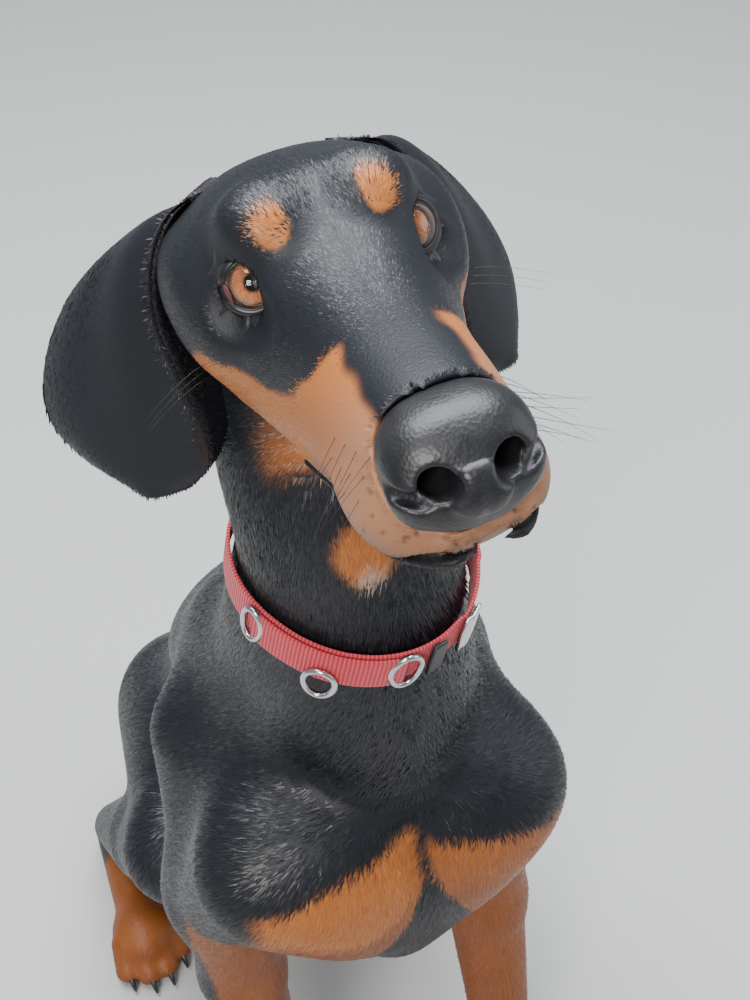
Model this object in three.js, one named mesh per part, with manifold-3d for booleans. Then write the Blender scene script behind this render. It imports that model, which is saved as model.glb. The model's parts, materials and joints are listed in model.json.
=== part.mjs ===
// Doberman pinscher sitting with its head raised, life size, in millimetres, +Z up.
// The dog looks along -Y and its left side is +X. The origin is on the floor, under the middle of its box.
//
// The body is one rounded form: a field that is negative inside the animal, put together from a long
// trunk and neck, a head and the muscle masses of four legs. Its zero surface is turned into facets,
// and thin flat cuts part it into the named nodes.
import * as THREE from 'three';
import { mergeVertices } from 'three/addons/utils/BufferGeometryUtils.js';
import Module from 'manifold-3d';

// Driving dimensions
const GAP = 0.3;              // clearance kept between touching pieces
const BODY_STEP = 23.5;         // spacing of the facets on the trunk
const LEG_STEP = 18.5;        // spacing on arms, thighs and shanks
const HEAD_STEP = 10.2;       // spacing on the head
const PAW_STEP = 11.8;        // spacing on the feet
const EYEBALL = 11.0;         // radius
const EYE_FORWARD = 7.0;      // eye centre from the middle between the eyes
const EYE_UP = 4.0;           // above that middle
const EYE_APART = 31.0;       // half the distance between the eye centres
const COLLAR_WIDTH = 22;      // webbing
const COLLAR_THICK = 2.2;
const EAR_THICK = 5;
const CENTRE = [-0.87, 221.71];  // x and y of the middle of the box, from the breastbone

// Trunk and neck, from the rump to the nape, all measured from the breastbone (x left, y back, z up).
// Columns: y, z, sideways shift, half width, radius to the back, radius to the belly
const TRUNK = [
  [398, 72, 26, 56, 46, 42],
  [376, 150, 26, 74, 58, 60],
  [328, 255, 27, 76, 57, 84],
  [272, 350, 26, 85, 58, 112],
  [215, 430, 20, 93, 58, 138],
  [158, 490, 13, 87, 58, 144],
  [116, 545, 4, 75, 56, 110],
  [90, 600, -5, 65, 59, 80],
  [76, 655, -9, 57, 56, 60],
  [82, 715, -15, 55, 52, 54],
  [102, 762, -19, 50, 44, 46],
];

// Head sections along the muzzle, from the middle between the eyes.
// Columns: forward, top, bottom, half width, level of the half width, upper and lower squareness
const HEAD = [
  [-100, 3, -14, 20, -5, 2.0, 2.0],
  [-88, 13, -38, 38, -8, 2.1, 2.0],
  [-68, 24, -56, 50, -11, 2.2, 2.1],
  [-46, 31, -70, 56, -14, 2.3, 2.2],
  [-20, 36, -78, 56, -17, 2.4, 2.2],
  [0, 36, -80, 50, -22, 2.5, 2.2],
  [18, 27, -78, 44, -30, 2.3, 2.3],
  [38, 16, -75, 38, -36, 2.2, 2.4],
  [62, 9, -71, 34.5, -40, 2.2, 2.6],
  [88, 4, -68, 33, -41, 2.2, 2.7],
  [108, 0, -66, 31, -41, 2.2, 2.6],
  [122, -5, -62, 26, -37, 2.2, 2.4],
  [132, -14, -53, 16, -33, 2.0, 2.0],
];
const HEAD_AT = new THREE.Vector3(-32, 40, 850);     // middle between the eyes
const HEAD_FORWARD = new THREE.Vector3(-0.1325, -0.958, 0.251).normalize();
const HEAD_LEFT = new THREE.Vector3(0.985, -0.098, 0.1435);
HEAD_LEFT.addScaledVector(HEAD_FORWARD, -HEAD_LEFT.dot(HEAD_FORWARD)).normalize();
const HEAD_UP = new THREE.Vector3().crossVectors(HEAD_FORWARD, HEAD_LEFT);

// Joints of the legs, dog's left and right
const LEGS = {
  left: {
    side: 1, shoulder: [72, 40, 432], elbow: [84, 80, 338], carpus: [78, 6, 132], pastern: [76, -12, 62],
    paw: [75, -30, 27], hip: [76, 345, 172], knee: [112, 202, 238], hock: [124, 362, 50], toe: [124, 272, 26],
  },
  right: {
    side: -1, shoulder: [-80, 44, 436], elbow: [-92, 98, 340], carpus: [-88, 44, 132], pastern: [-86, 26, 62],
    paw: [-85, 8, 27], hip: [-34, 345, 172], knee: [-92, 200, 240], hock: [-110, 362, 50],
    toe: [-124, 270, 26],
  },
};

// Deep brisket between the forelegs
const BRISKET = [5, 84, 352];
const BRISKET_SIZE = [56, 80, 86];

const wasm = await Module();
wasm.setup();

// Smooth curve through a column of a station table
function along(table, column, t) {
  const n = table.length;
  let i = 0;
  while (i < n - 2 && t >= table[i + 1].at) i += 1;
  const a = table[i];
  const b = table[i + 1];
  const h = b.at - a.at;
  const u = Math.min(1, Math.max(0, (t - a.at) / h));
  const slope = (k) => {
    const p = table[Math.max(0, k - 1)];
    const q = table[Math.min(n - 1, k + 1)];
    return (q.row[column] - p.row[column]) / (q.at - p.at);
  };
  const v = 1 - u;
  return (1 + 2 * u) * v * v * a.row[column] + u * v * v * h * slope(i)
    + u * u * (3 - 2 * u) * b.row[column] - u * u * v * h * slope(i + 1);
}

function stations(rows, position) {
  return rows.map((row, i) => ({ at: position(row, i), row }));
}

const headTable = stations(HEAD, (row) => row[0]);
let run = 0;
const trunkTable = stations(TRUNK, (row, i) => {
  if (i > 0) run += Math.hypot(row[0] - TRUNK[i - 1][0], row[1] - TRUNK[i - 1][1]);
  return run;
});

// The trunk's middle line in fine steps, each with its section
const TRUNK_STEPS = 160;
const spine = Array.from({ length: TRUNK_STEPS + 1 }, (_, i) => {
  const t = (run * i) / TRUNK_STEPS;
  const [y, z, shift, width, back, belly] = [0, 1, 2, 3, 4, 5].map((k) => along(trunkTable, k, t));
  return { t, y, z, shift, width, back, belly };
});
for (let i = 0; i <= TRUNK_STEPS; i += 1) {
  const p = spine[Math.max(0, i - 1)];
  const q = spine[Math.min(TRUNK_STEPS, i + 1)];
  const d = Math.hypot(q.y - p.y, q.z - p.z);
  spine[i].dy = (q.y - p.y) / d;
  spine[i].dz = (q.z - p.z) / d;
}

// Smooth union of two fields
function blend(a, b, k) {
  const h = Math.min(1, Math.max(0, 0.5 + (0.5 * (b - a)) / k));
  return b * (1 - h) + a * h - k * h * (1 - h);
}

// Distance to a tapered limb with round ends, made flatter sideways by `flat`
function limb(p, a, b, ra, rb, flat = 1) {
  const px = (p[0] - a[0]) / flat;
  const py = p[1] - a[1];
  const pz = p[2] - a[2];
  const dx = (b[0] - a[0]) / flat;
  const dy = b[1] - a[1];
  const dz = b[2] - a[2];
  const t = Math.min(1, Math.max(0, (px * dx + py * dy + pz * dz) / (dx * dx + dy * dy + dz * dz)));
  return Math.hypot(px - t * dx, py - t * dy, pz - t * dz) - (ra + (rb - ra) * t);
}

// Rounded mass with three half sizes
function mass(p, c, r) {
  const q = Math.hypot((p[0] - c[0]) / r[0], (p[1] - c[1]) / r[1], (p[2] - c[2]) / r[2]);
  const g = Math.hypot((p[0] - c[0]) / r[0] ** 2, (p[1] - c[1]) / r[1] ** 2, (p[2] - c[2]) / r[2] ** 2);
  return (q * (q - 1)) / (g + 1e-9);
}

function trunkField(p) {
  let best = Infinity;
  let s = spine[0];
  for (const c of spine) {
    const d = (p[1] - c.y) ** 2 + (p[2] - c.z) ** 2;
    if (d < best) {
      best = d;
      s = c;
    }
  }
  const dy = p[1] - s.y;
  const dz = p[2] - s.z;
  const end = s === spine[0] || s === spine[TRUNK_STEPS];
  const over = end ? dy * s.dy + dz * s.dz : 0;
  const off = dy * s.dz - dz * s.dy;
  const depth = off > 0 ? s.back : s.belly;
  const round = (s.width + depth) / 2;
  const x = p[0] - s.shift;
  const q = Math.hypot(x / s.width, off / depth, over / round);
  const g = Math.hypot(x / s.width ** 2, off / depth ** 2, over / round ** 2) + 1e-6;
  return (q * (q - 1)) / g;
}

function headLocal(p) {
  const v = new THREE.Vector3(...p).sub(HEAD_AT);
  return [v.dot(HEAD_FORWARD), v.dot(HEAD_LEFT), v.dot(HEAD_UP)];
}

function headWorld(x, y, z) {
  return HEAD_AT.clone().addScaledVector(HEAD_FORWARD, x).addScaledVector(HEAD_LEFT, y)
    .addScaledVector(HEAD_UP, z);
}

function headField(p) {
  const [x, y, z] = headLocal(p);
  const t = Math.min(HEAD[HEAD.length - 1][0], Math.max(HEAD[0][0], x));
  const [top, bottom, width, level, upper, lower] = [1, 2, 3, 4, 5, 6].map((k) => along(headTable, k, t));
  const high = z > level;
  const height = high ? top - level : level - bottom;
  const n = high ? upper : lower;
  const q = Math.pow(Math.pow(Math.abs(y) / width, n) + Math.pow(Math.abs(z - level) / height, n), 1 / n);
  const f = (Math.hypot(q, (x - t) / 6) - 1) * Math.min(width, height) * 0.95;
  const ay = Math.abs(y);
  let g = blend(f, mass([x, ay, z], [4, 21, 24], [17, 16, 13]), 12);          // brow ridge
  g = blend(g, mass([x, ay, z], [-34, 46, -14], [40, 15, 24]), 14);           // cheek
  g = blend(g, mass([x, ay, z], [96, 20, -48], [30, 15, 17]), 10);            // flew
  g = -blend(-g, mass([x, ay, z], [22, 43, -1], [15, 10, 10]), 8);            // hollow before the eye
  return g;
}

function bodyField(p) {
  let f = blend(trunkField(p), mass(p, BRISKET, BRISKET_SIZE), 40);
  for (const leg of Object.values(LEGS)) {
    const s = leg.side;
    const x = (v) => s * v;
    if (p[0] * s < -64) continue;
    f = blend(f, limb(p, [x(46) + 10, 156, 488], [x(70), 66, 440], 33, 44, 0.72), 46);            // blade
    f = blend(f, limb(p, leg.shoulder, leg.elbow, 43, 37), 34);                              // upper arm
    f = blend(f, limb(p, [x(74), 140, 450], [leg.elbow[0], leg.elbow[1] + 14, leg.elbow[2] + 6], 38, 27), 30);
    f = blend(f, mass(p, [x(34), 30, 416], [44, 40, 66]), 40);                               // breast
    const mid = leg.elbow.map((v, i) => v * 0.62 + leg.carpus[i] * 0.38 + [x(2), 4, 0][i]);
    f = blend(f, limb(p, [leg.elbow[0], leg.elbow[1] - 8, leg.elbow[2] - 8], mid, 34, 29), 16);
    f = blend(f, limb(p, mid, leg.carpus, 29, 21), 12);
    f = blend(f, limb(p, leg.carpus, leg.pastern, 22, 19), 8);
    f = blend(f, limb(p, leg.pastern, leg.paw, 20, 22), 12);
    f = blend(f, limb(p, leg.hip, [leg.knee[0] - x(8), leg.knee[1] + 14, leg.knee[2] - 4], 82, 52, 0.72), 34);
    f = blend(f, mass(p, [x(48) + 22, 378, 76], [46, 66, 78]), 30);                              // buttock
    f = blend(f, limb(p, leg.knee, leg.hock, 44, 19), 14);                                   // shank
    f = blend(f, limb(p, [leg.knee[0] - x(2), 262, 172], leg.hock, 40, 16), 18);             // calf
    f = blend(f, limb(p, [leg.hock[0], leg.hock[1] + 14, 18], [leg.toe[0], leg.toe[1], 19], 20, 19.5), 10);
    for (const [foot, reach] of [[leg.paw, 30], [leg.toe, 34]]) {
      const y = foot[1];
      f = blend(f, mass(p, [foot[0], y - 4, 22], [28, 30, 24.5]), 12);
      for (const toe of [-1.5, -0.5, 0.5, 1.5]) {
        const inner = Math.abs(toe) < 1;
        const tip = inner ? reach : reach - 10;
        const knuckle = [foot[0] + toe * 13, y - 8, 26];
        f = blend(f, limb(p, knuckle, [foot[0] + toe * 15.5, y - tip, 11.5], 12, 12), 4);
      }
    }
  }
  return f;
}

function dogField(p) {
  const h = Math.hypot(p[0] + 24, p[1] - 60, p[2] - 830) < 260 ? headField(p) : 1e3;
  return blend(bodyField(p), h, 18);
}

// Slides a point along the steepest way onto the surface, by no more than a part of a cell
function settle(field, at, level, step) {
  const small = 0.5;
  const f = field(at) - level;
  const slope = [0, 1, 2].map((d) => {
    const q = [...at];
    q[d] += small;
    return (field(q) - level - f) / small;
  });
  const steep = slope.reduce((s, v) => s + v * v, 1e-6);
  const move = Math.max(-0.25 * step, Math.min(0.25 * step, f / Math.sqrt(steep))) / Math.sqrt(steep);
  return at.map((v, d) => v - slope[d] * move);
}

// The eight corners of a cell and its twelve edges
const CORNERS = Array.from({ length: 8 }, (_, c) => [c & 1, (c >> 1) & 1, (c >> 2) & 1]);
const EDGES = [];
for (let a = 0; a < 8; a += 1) {
  for (const bit of [1, 2, 4]) if (!(a & bit)) EDGES.push([a, a | bit]);
}

// Which island each inside corner of a cell belongs to; the surface has one sheet round each island
function islands(inside) {
  const label = new Array(8).fill(0);
  const seen = inside.map((x) => !x);
  let count = 0;
  for (let c = 0; c < 8; c += 1) {
    if (seen[c]) continue;
    const stack = [c];
    seen[c] = true;
    while (stack.length) {
      const a = stack.pop();
      label[a] = count;
      for (const bit of [1, 2, 4]) {
        if (!seen[a ^ bit]) {
          seen[a ^ bit] = true;
          stack.push(a ^ bit);
        }
      }
    }
    count += 1;
  }
  return label;
}

// Facets of the zero surface of a field between two corners: one point in each cell that the surface
// crosses, at the mean of the crossings of its edges, and one quad round each crossed edge.
function facets(field, low, high, step, level = 0) {
  const n = low.map((v, i) => Math.ceil((high[i] - v) / step) + 1);
  const id = (i, j, k) => (i * n[1] + j) * n[2] + k;
  const value = new Float64Array(n[0] * n[1] * n[2]);
  for (let i = 0; i < n[0]; i += 1) {
    for (let j = 0; j < n[1]; j += 1) {
      for (let k = 0; k < n[2]; k += 1) {
        const edge = i === 0 || j === 0 || k === 0 || i === n[0] - 1 || j === n[1] - 1 || k === n[2] - 1;
        const at = [low[0] + i * step, low[1] + j * step, low[2] + k * step];
        value[id(i, j, k)] = edge ? step : field(at) - level;
      }
    }
  }
  const groups = new Map();
  const points = [];
  for (let i = 0; i < n[0] - 1; i += 1) {
    for (let j = 0; j < n[1] - 1; j += 1) {
      for (let k = 0; k < n[2] - 1; k += 1) {
        const v = CORNERS.map((c) => value[id(i + c[0], j + c[1], k + c[2])]);
        const inside = v.map((x) => x < 0);
        if (inside.every((x) => x === inside[0])) continue;
        const part = islands(inside);
        const sums = new Map();
        for (const [a, b] of EDGES) {
          if (inside[a] === inside[b]) continue;
          const t = v[a] / (v[a] - v[b]);
          const key = part[a] + part[b];
          if (!sums.has(key)) sums.set(key, [0, 0, 0, 0]);
          const sum = sums.get(key);
          for (let d = 0; d < 3; d += 1) sum[d] += CORNERS[a][d] + t * (CORNERS[b][d] - CORNERS[a][d]);
          sum[3] += 1;
        }
        const vertex = new Map();
        for (const [key, sum] of sums) {
          vertex.set(key, points.length / 3);
          const at = [i, j, k].map((c, d) => low[d] + (c + sum[d] / sum[3]) * step);
          points.push(...settle(field, at, level, step));
        }
        groups.set(id(i, j, k), { part, vertex });
      }
    }
  }
  const triangles = [];
  for (let i = 0; i < n[0] - 1; i += 1) {
    for (let j = 0; j < n[1] - 1; j += 1) {
      for (let k = 0; k < n[2] - 1; k += 1) {
        for (let d = 0; d < 3; d += 1) {
          if ([i, j, k].some((v, m) => m !== d && v === 0)) continue;
          const unit = [0, 1, 2].map((m) => (m === d ? 1 : 0));
          const inside = value[id(i, j, k)] < 0;
          if (inside === (value[id(i + unit[0], j + unit[1], k + unit[2])] < 0)) continue;
          const e = (d + 1) % 3;
          const g = (d + 2) % 3;
          const q = [[0, 0], [1, 0], [1, 1], [0, 1]].map(([back, down]) => {
            const o = [0, 0, 0];
            o[e] = back;
            o[g] = down;
            const { part, vertex } = groups.get(id(i - o[0], j - o[1], k - o[2]));
            const a = o[0] + 2 * o[1] + 4 * o[2];
            return vertex.get(part[a] + part[a + (1 << d)]);
          });
          if (!inside) q.reverse();
          triangles.push(q[0], q[1], q[2], q[0], q[2], q[3]);
        }
      }
    }
  }
  return solid(new Float32Array(points), new Uint32Array(triangles));
}

function solid(vertProperties, triVerts) {
  return new wasm.Manifold(new wasm.Mesh({ numProp: 3, vertProperties, triVerts }));
}

// A closed three.js geometry as a solid
function fromGeometry(geometry) {
  const g = geometry.clone();
  g.deleteAttribute('normal');
  g.deleteAttribute('uv');
  const m = mergeVertices(g, 1e-4);
  return solid(new Float32Array(m.attributes.position.array), new Uint32Array(m.index.array));
}

function largest(s) {
  return s.decompose().sort((a, b) => b.volume() - a.volume())[0];
}

// Everything in front of a plane, as one big block
const FAR = 1500;
function before(point, normal) {
  const block = new THREE.BoxGeometry(2 * FAR, 2 * FAR, FAR);
  block.translate(0, 0, FAR / 2);
  const n = new THREE.Vector3(...normal).normalize();
  block.applyQuaternion(new THREE.Quaternion().setFromUnitVectors(new THREE.Vector3(0, 0, 1), n));
  block.translate(...point);
  return fromGeometry(block);
}

// The two sides of a thin flat cut
function cut(s, point, normal) {
  const n = new THREE.Vector3(...normal).normalize();
  const ahead = n.clone().multiplyScalar(GAP / 2).add(new THREE.Vector3(...point));
  const behind = n.clone().multiplyScalar(-GAP / 2).add(new THREE.Vector3(...point));
  return [s.intersect(before(ahead.toArray(), n.toArray())),
    s.intersect(before(behind.toArray(), n.clone().negate().toArray()))];
}

function block(low, high) {
  const size = high.map((v, i) => v - low[i]);
  const g = new THREE.BoxGeometry(...size);
  g.translate(...low.map((v, i) => v + size[i] / 2));
  return fromGeometry(g);
}

// Closed tube through points with a radius at each, round ends, `sides` facets round
function tube(points, radii, sides, fine = 2) {
  const curve = new THREE.CatmullRomCurve3(points.map((p) => (p.isVector3 ? p : new THREE.Vector3(...p))));
  const steps = (points.length - 1) * fine;
  const frames = curve.computeFrenetFrames(steps, false);
  const flat = [];
  const index = [];
  const radiusAt = (u) => {
    const x = u * (radii.length - 1);
    const i = Math.min(radii.length - 2, Math.floor(x));
    return radii[i] + (radii[i + 1] - radii[i]) * (x - i);
  };
  for (let i = 0; i <= steps; i += 1) {
    const c = curve.getPoint(i / steps);
    for (let j = 0; j < sides; j += 1) {
      const a = (2 * Math.PI * j) / sides;
      const r = radiusAt(i / steps);
      const p = c.clone().addScaledVector(frames.normals[i], r * Math.cos(a))
        .addScaledVector(frames.binormals[i], r * Math.sin(a));
      flat.push(p.x, p.y, p.z);
    }
  }
  const first = curve.getPoint(0).addScaledVector(frames.tangents[0], -radiusAt(0) * 0.6);
  const last = curve.getPoint(1).addScaledVector(frames.tangents[steps], radiusAt(1) * 0.6);
  flat.push(first.x, first.y, first.z, last.x, last.y, last.z);
  const a = (steps + 1) * sides;
  for (let j = 0; j < sides; j += 1) {
    const k = (j + 1) % sides;
    index.push(a, k, j, a + 1, steps * sides + j, steps * sides + k);
    for (let i = 0; i < steps; i += 1) {
      const p = i * sides;
      index.push(p + j, p + k, p + sides + k, p + j, p + sides + k, p + sides + j);
    }
  }
  return oriented(flat, index);
}

// A solid from loose points and triangles, turned the right way out
function oriented(flat, index) {
  let volume = 0;
  const v = (i) => new THREE.Vector3(flat[3 * i], flat[3 * i + 1], flat[3 * i + 2]);
  for (let t = 0; t < index.length; t += 3) {
    volume += v(index[t]).dot(new THREE.Vector3().crossVectors(v(index[t + 1]), v(index[t + 2])));
  }
  if (volume < 0) index.reverse();
  return solid(new Float32Array(flat), new Uint32Array(index));
}

// Closed grid: rings of points, each ring closed, capped with one point at both ends
function rings(list) {
  const sides = list[0].length;
  const flat = [];
  const index = [];
  for (const ring of list) for (const p of ring) flat.push(p.x, p.y, p.z);
  for (let i = 0; i < list.length - 1; i += 1) {
    for (let j = 0; j < sides; j += 1) {
      const k = (j + 1) % sides;
      const p = i * sides;
      index.push(p + j, p + k, p + sides + k, p + j, p + sides + k, p + sides + j);
    }
  }
  const cap = (i, turn) => {
    const c = list[i].reduce((s, p) => s.add(p), new THREE.Vector3()).divideScalar(sides);
    const at = flat.length / 3;
    flat.push(c.x, c.y, c.z);
    for (let j = 0; j < sides; j += 1) {
      const k = (j + 1) % sides;
      if (turn) index.push(at, i * sides + k, i * sides + j);
      else index.push(at, i * sides + j, i * sides + k);
    }
  };
  cap(0, true);
  cap(list.length - 1, false);
  return oriented(flat, index);
}

const group = new THREE.Group();
const LOOKS = {
  coat: ['#1c1e22', 0.6, 0], nose: ['#15161a', 0.35, 0], eye: ['#6b3513', 0.1, 0],
  webbing: ['#d63a44', 0.85, 0], metal: ['#c9cbd0', 0.3, 0.9], keeper: ['#25262b', 0.5, 0],
};
const material = {};
for (const [name, [color, roughness, metalness]] of Object.entries(LOOKS)) {
  material[name] = new THREE.MeshStandardMaterial({ color, roughness, metalness });
}

// Hangs a solid in the group as a named mesh, moved so that the box's middle is over the origin
function add(name, s, look) {
  const m = largest(s).getMesh();
  const g = new THREE.BufferGeometry();
  g.setAttribute('position', new THREE.BufferAttribute(new Float32Array(m.vertProperties), 3));
  g.setIndex(new THREE.BufferAttribute(new Uint32Array(m.triVerts), 1));
  const mesh = new THREE.Mesh(g, material[look]);
  mesh.name = name;
  mesh.position.set(-CENTRE[0], -CENTRE[1], 0);
  group.add(mesh);
}

// Trunk, neck and legs
const JAW_CUT = [[0, 110, 778], [0, -0.288, 0.958]];
const NECK_CUT = [[0, 100, 556], [0, -0.45, 0.89]];
const LOIN_CUT = [[0, 262, 365], [0, -0.62, 0.785]];
const RUMP_CUT = [[0, 345, 225], [0, -0.4, 0.92]];
const whole = facets(dogField, [-210, -130, -20], [210, 480, 900], BODY_STEP)
  .intersect(block([-400, -400, 0], [400, 700, 1000]));
const [, belowHead] = cut(whole, ...JAW_CUT);
const parted = cut(belowHead, ...NECK_CUT);
const neck = parted[0];
let rest = parted[1];

const ARM_TOP = 446;
const ELBOW_LEVEL = 304;
const WRIST_LEVEL = 84;
const HOCK_LEVEL = 66;
for (const [name, leg] of Object.entries(LEGS)) {
  const s = leg.side;
  const span = (a, b) => (s > 0 ? [a, b] : [-b, -a]);
  const box = (x0, x1, y0, y1, z0, z1, grow = 0) => {
    const [a, b] = span(x0, x1);
    return block([a - grow, y0 - grow, z0 - grow], [b + grow, y1 + grow, z1 + grow]);
  };
  const fine = facets(dogField, [s > 0 ? 20 : -200, -110, -14], [s > 0 ? 200 : -20, 460, 470], LEG_STEP);
  const foot = facets(dogField, [s > 0 ? 20 : -190, -100, -9], [s > 0 ? 190 : -20, 430, 110], PAW_STEP);
  const arm = [58, 250, -150, 138, ELBOW_LEVEL, ARM_TOP];
  const fore = [30, 250, -150, 138, -10, ELBOW_LEVEL - GAP];
  const hind = [74, 250, 138 + GAP, 470, 0, 330];
  add(`upper_arm_${name}`, fine.intersect(box(...arm)), 'coat');
  add(`foreleg_${name}`, fine.intersect(box(30, 250, -150, 138, WRIST_LEVEL, ELBOW_LEVEL - GAP)), 'coat');
  let paw = foot.intersect(box(30, 250, -150, 138, 0, WRIST_LEVEL - GAP));
  let hindFoot = foot.intersect(box(92, 250, 138 + GAP, 470, 0, HOCK_LEVEL));
  const claws = (f, reach) => {
    const list = [];
    for (const toe of [-1.5, -0.5, 0.5, 1.5]) {
      const tip = Math.abs(toe) < 1 ? reach : reach - 10;
      const x = f[0] + toe * 16;
      const y = f[1] - tip;
      list.push(tube([[x, y + 2, 13], [x, y - 9, 11.5], [x, y - 19, 5]], [4.6, 4, 1], 5));
    }
    return list;
  };
  for (const c of claws(leg.paw, 30)) paw = paw.add(c);
  for (const c of claws(leg.toe, 34)) hindFoot = hindFoot.add(c);
  add(`paw_${name}`, paw, 'coat');
  add(`hind_foot_${name}`, hindFoot, 'coat');
  const thigh = fine.intersect(box(...hind)).subtract(box(92, 250, 138, 470, -10, HOCK_LEVEL, GAP));
  add(`hind_leg_${name}`, thigh, 'coat');
  rest = rest.subtract(box(...arm, GAP)).subtract(box(...fore, GAP)).subtract(box(...hind, GAP));
}
const [chest, behind] = cut(rest, ...LOIN_CUT);
const [loin, rump] = cut(behind, ...RUMP_CUT);

// Tail: a natural one, from the croup down to the floor and round beside the rump
const TAIL = [[26, 418, 118], [26, 452, 78], [28, 478, 38], [34, 504, 14], [52, 528, 11], [90, 538, 9.2],
  [126, 528, 7.3], [150, 506, 5]];
const TAIL_RADII = [25, 21, 17.5, 15, 12.5, 10.5, 8.5, 5.5];
const tail = tube(TAIL, TAIL_RADII, 10).intersect(block([-400, -400, 0], [400, 700, 400]));
const rumpGrown = facets(dogField, [-210, -130, -20], [210, 480, 300], BODY_STEP, 2 * GAP);
add('tail', tail.subtract(rumpGrown), 'coat');
add('chest', chest, 'coat');
add('loin', loin, 'coat');
add('rump', rump.subtract(tail.subtract(rumpGrown)), 'coat');
add('neck', neck, 'coat');

// Head: the same form in finer facets, with the muzzle's nose, the eyes, lids, lips and mouth line
const HEAD_BOX = [[-160, -140, 720], [100, 190, 920]];
const fineHead = facets(dogField, ...HEAD_BOX, HEAD_STEP);
let [head] = cut(fineHead, ...JAW_CUT);
const mirror = (p, side) => headWorld(p[0], p[1] * side, p[2]);

// Half width of the head's own section at a place along the muzzle and a level
function cheekAt(x, z) {
  const [top, bottom, width, level, upper, lower] = [1, 2, 3, 4, 5, 6].map((k) => along(headTable, k, x));
  const high = z > level;
  const part = Math.abs(z - level) / (high ? top - level : level - bottom);
  const n = high ? upper : lower;
  return width * Math.pow(Math.max(0, 1 - Math.pow(part, n)), 1 / n);
}

// Nose leather: a loft along the muzzle, forward, top, bottom, half width, with two nostrils cut in
const NOSE = [
  [104, -8, -26, 15],
  [110, -1, -36, 22],
  [119, 1, -42, 26],
  [129, -1, -45, 25.5],
  [136, -7, -44, 20],
  [140, -15, -38, 11],
];
const NOSE_SIDES = 16;
function noseRings(grow) {
  return NOSE.map(([x, top, bottom, width], i) => Array.from({ length: NOSE_SIDES }, (_, j) => {
    const a = (2 * Math.PI * j) / NOSE_SIDES;
    const power = (v) => Math.sign(v) * Math.pow(Math.abs(v), 0.8);
    const y = (width + grow) * power(Math.cos(a));
    const z = (top + bottom) / 2 + ((top - bottom) / 2 + grow) * power(Math.sin(a));
    const end = i === 0 ? -grow : 0;
    const front = i === NOSE.length - 1 ? grow : 0;
    return headWorld(x + end + front, y, z);
  }));
}
let nose = rings(noseRings(0));
for (const side of [-1, 1]) {
  nose = nose.subtract(tube([[143, 12, -25], [131, 13, -24], [120, 15, -22]].map((p) => mirror(p, side)),
    [7, 6.2, 4], 10));
  nose = nose.subtract(tube([[136, 15, -27], [129, 22, -25], [121, 30, -21]].map((p) => mirror(p, side)),
    [3.4, 3, 2.4], 8));
}
nose = nose.subtract(tube([[142, 0, -18], [139, 0, -34], [131, 0, -50]].map((p) => mirror(p, 1)),
  [1.5, 1.9, 2.2], 6));
add('nose', nose, 'nose');

// Lips: a soft roll along the mouth line with the line cut into it
const LIP_ROLL = 3.4;
const MOUTH_SLIT = 1.5;
const MOUTH = [[127, -48], [118, -53], [102, -57], [82, -60], [62, -62], [46, -61], [34, -56]];
for (const side of [-1, 1]) {
  const line = MOUTH.map(([x, z], i) => mirror([x, i === 0 ? 4 : cheekAt(x, z) - 0.5, z], side));
  const raised = (by) => line.map((p) => p.clone().addScaledVector(HEAD_UP, by));
  head = head.add(tube(raised(1.5), line.map(() => LIP_ROLL), 8));
  head = head.subtract(tube(raised(-1.6), line.map(() => MOUTH_SLIT), 6));
}

head = head.subtract(rings(noseRings(2 * GAP)));

// Eyes: a ball in a socket with a raised rim of lid round an almond opening
const SIGHT = new THREE.Vector3(0.9, 0.36, 0.26).normalize();
const LID_WIDTH = 13.5;
const LID_HEIGHT = 9.5;
const LID = 2.3;
for (const [name, leg] of Object.entries(LEGS)) {
  const side = leg.side;
  const centre = mirror([EYE_FORWARD, EYE_APART, EYE_UP], side);
  const sight = mirror(SIGHT.toArray(), side).sub(mirror([0, 0, 0], side)).normalize();
  const across = new THREE.Vector3().crossVectors(HEAD_UP, sight).normalize();
  const up = new THREE.Vector3().crossVectors(sight, across);
  const rim = (a, grow) => {
    const u = (LID_WIDTH + grow) * Math.cos(a);
    const v = (LID_HEIGHT + grow) * Math.sin(a) * (1 - 0.12 * Math.cos(2 * a));
    const reach = Math.sqrt(Math.max(20, (EYEBALL + 2) ** 2 - 0.62 * (u * u + v * v)));
    return centre.clone().addScaledVector(across, u).addScaledVector(up, v).addScaledVector(sight, reach);
  };
  const hole = rings([-4, 22].map((depth) => Array.from({ length: 16 }, (_, j) => {
    const a = (2 * Math.PI * j) / 16;
    return centre.clone().addScaledVector(across, (LID_WIDTH - 1) * Math.cos(a))
      .addScaledVector(up, (LID_HEIGHT - 1) * Math.sin(a)).addScaledVector(sight, depth);
  })));
  head = head.subtract(hole);
  const torus = new THREE.TorusGeometry(LID_WIDTH, LID, 5, 18);
  const pos = torus.attributes.position;
  for (let i = 0; i < pos.count; i += 1) {
    const x = pos.getX(i);
    const y = pos.getY(i);
    const a = Math.atan2(y, x);
    const out = Math.hypot(x, y) - LID_WIDTH;
    const p = rim(a, out + LID * 0.7).addScaledVector(sight, pos.getZ(i) * 1.4 - 0.5);
    pos.setXYZ(i, p.x, p.y, p.z);
  }
  head = head.add(fromGeometry(torus));
  const ball = new THREE.SphereGeometry(EYEBALL, 16, 10);
  ball.translate(centre.x, centre.y, centre.z);
  const room = new THREE.SphereGeometry(EYEBALL + GAP * 1.4, 16, 10);
  room.translate(centre.x, centre.y, centre.z);
  head = head.subtract(fromGeometry(room));
  add(`eye_${name}`, fromGeometry(ball), 'eye');
}

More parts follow.
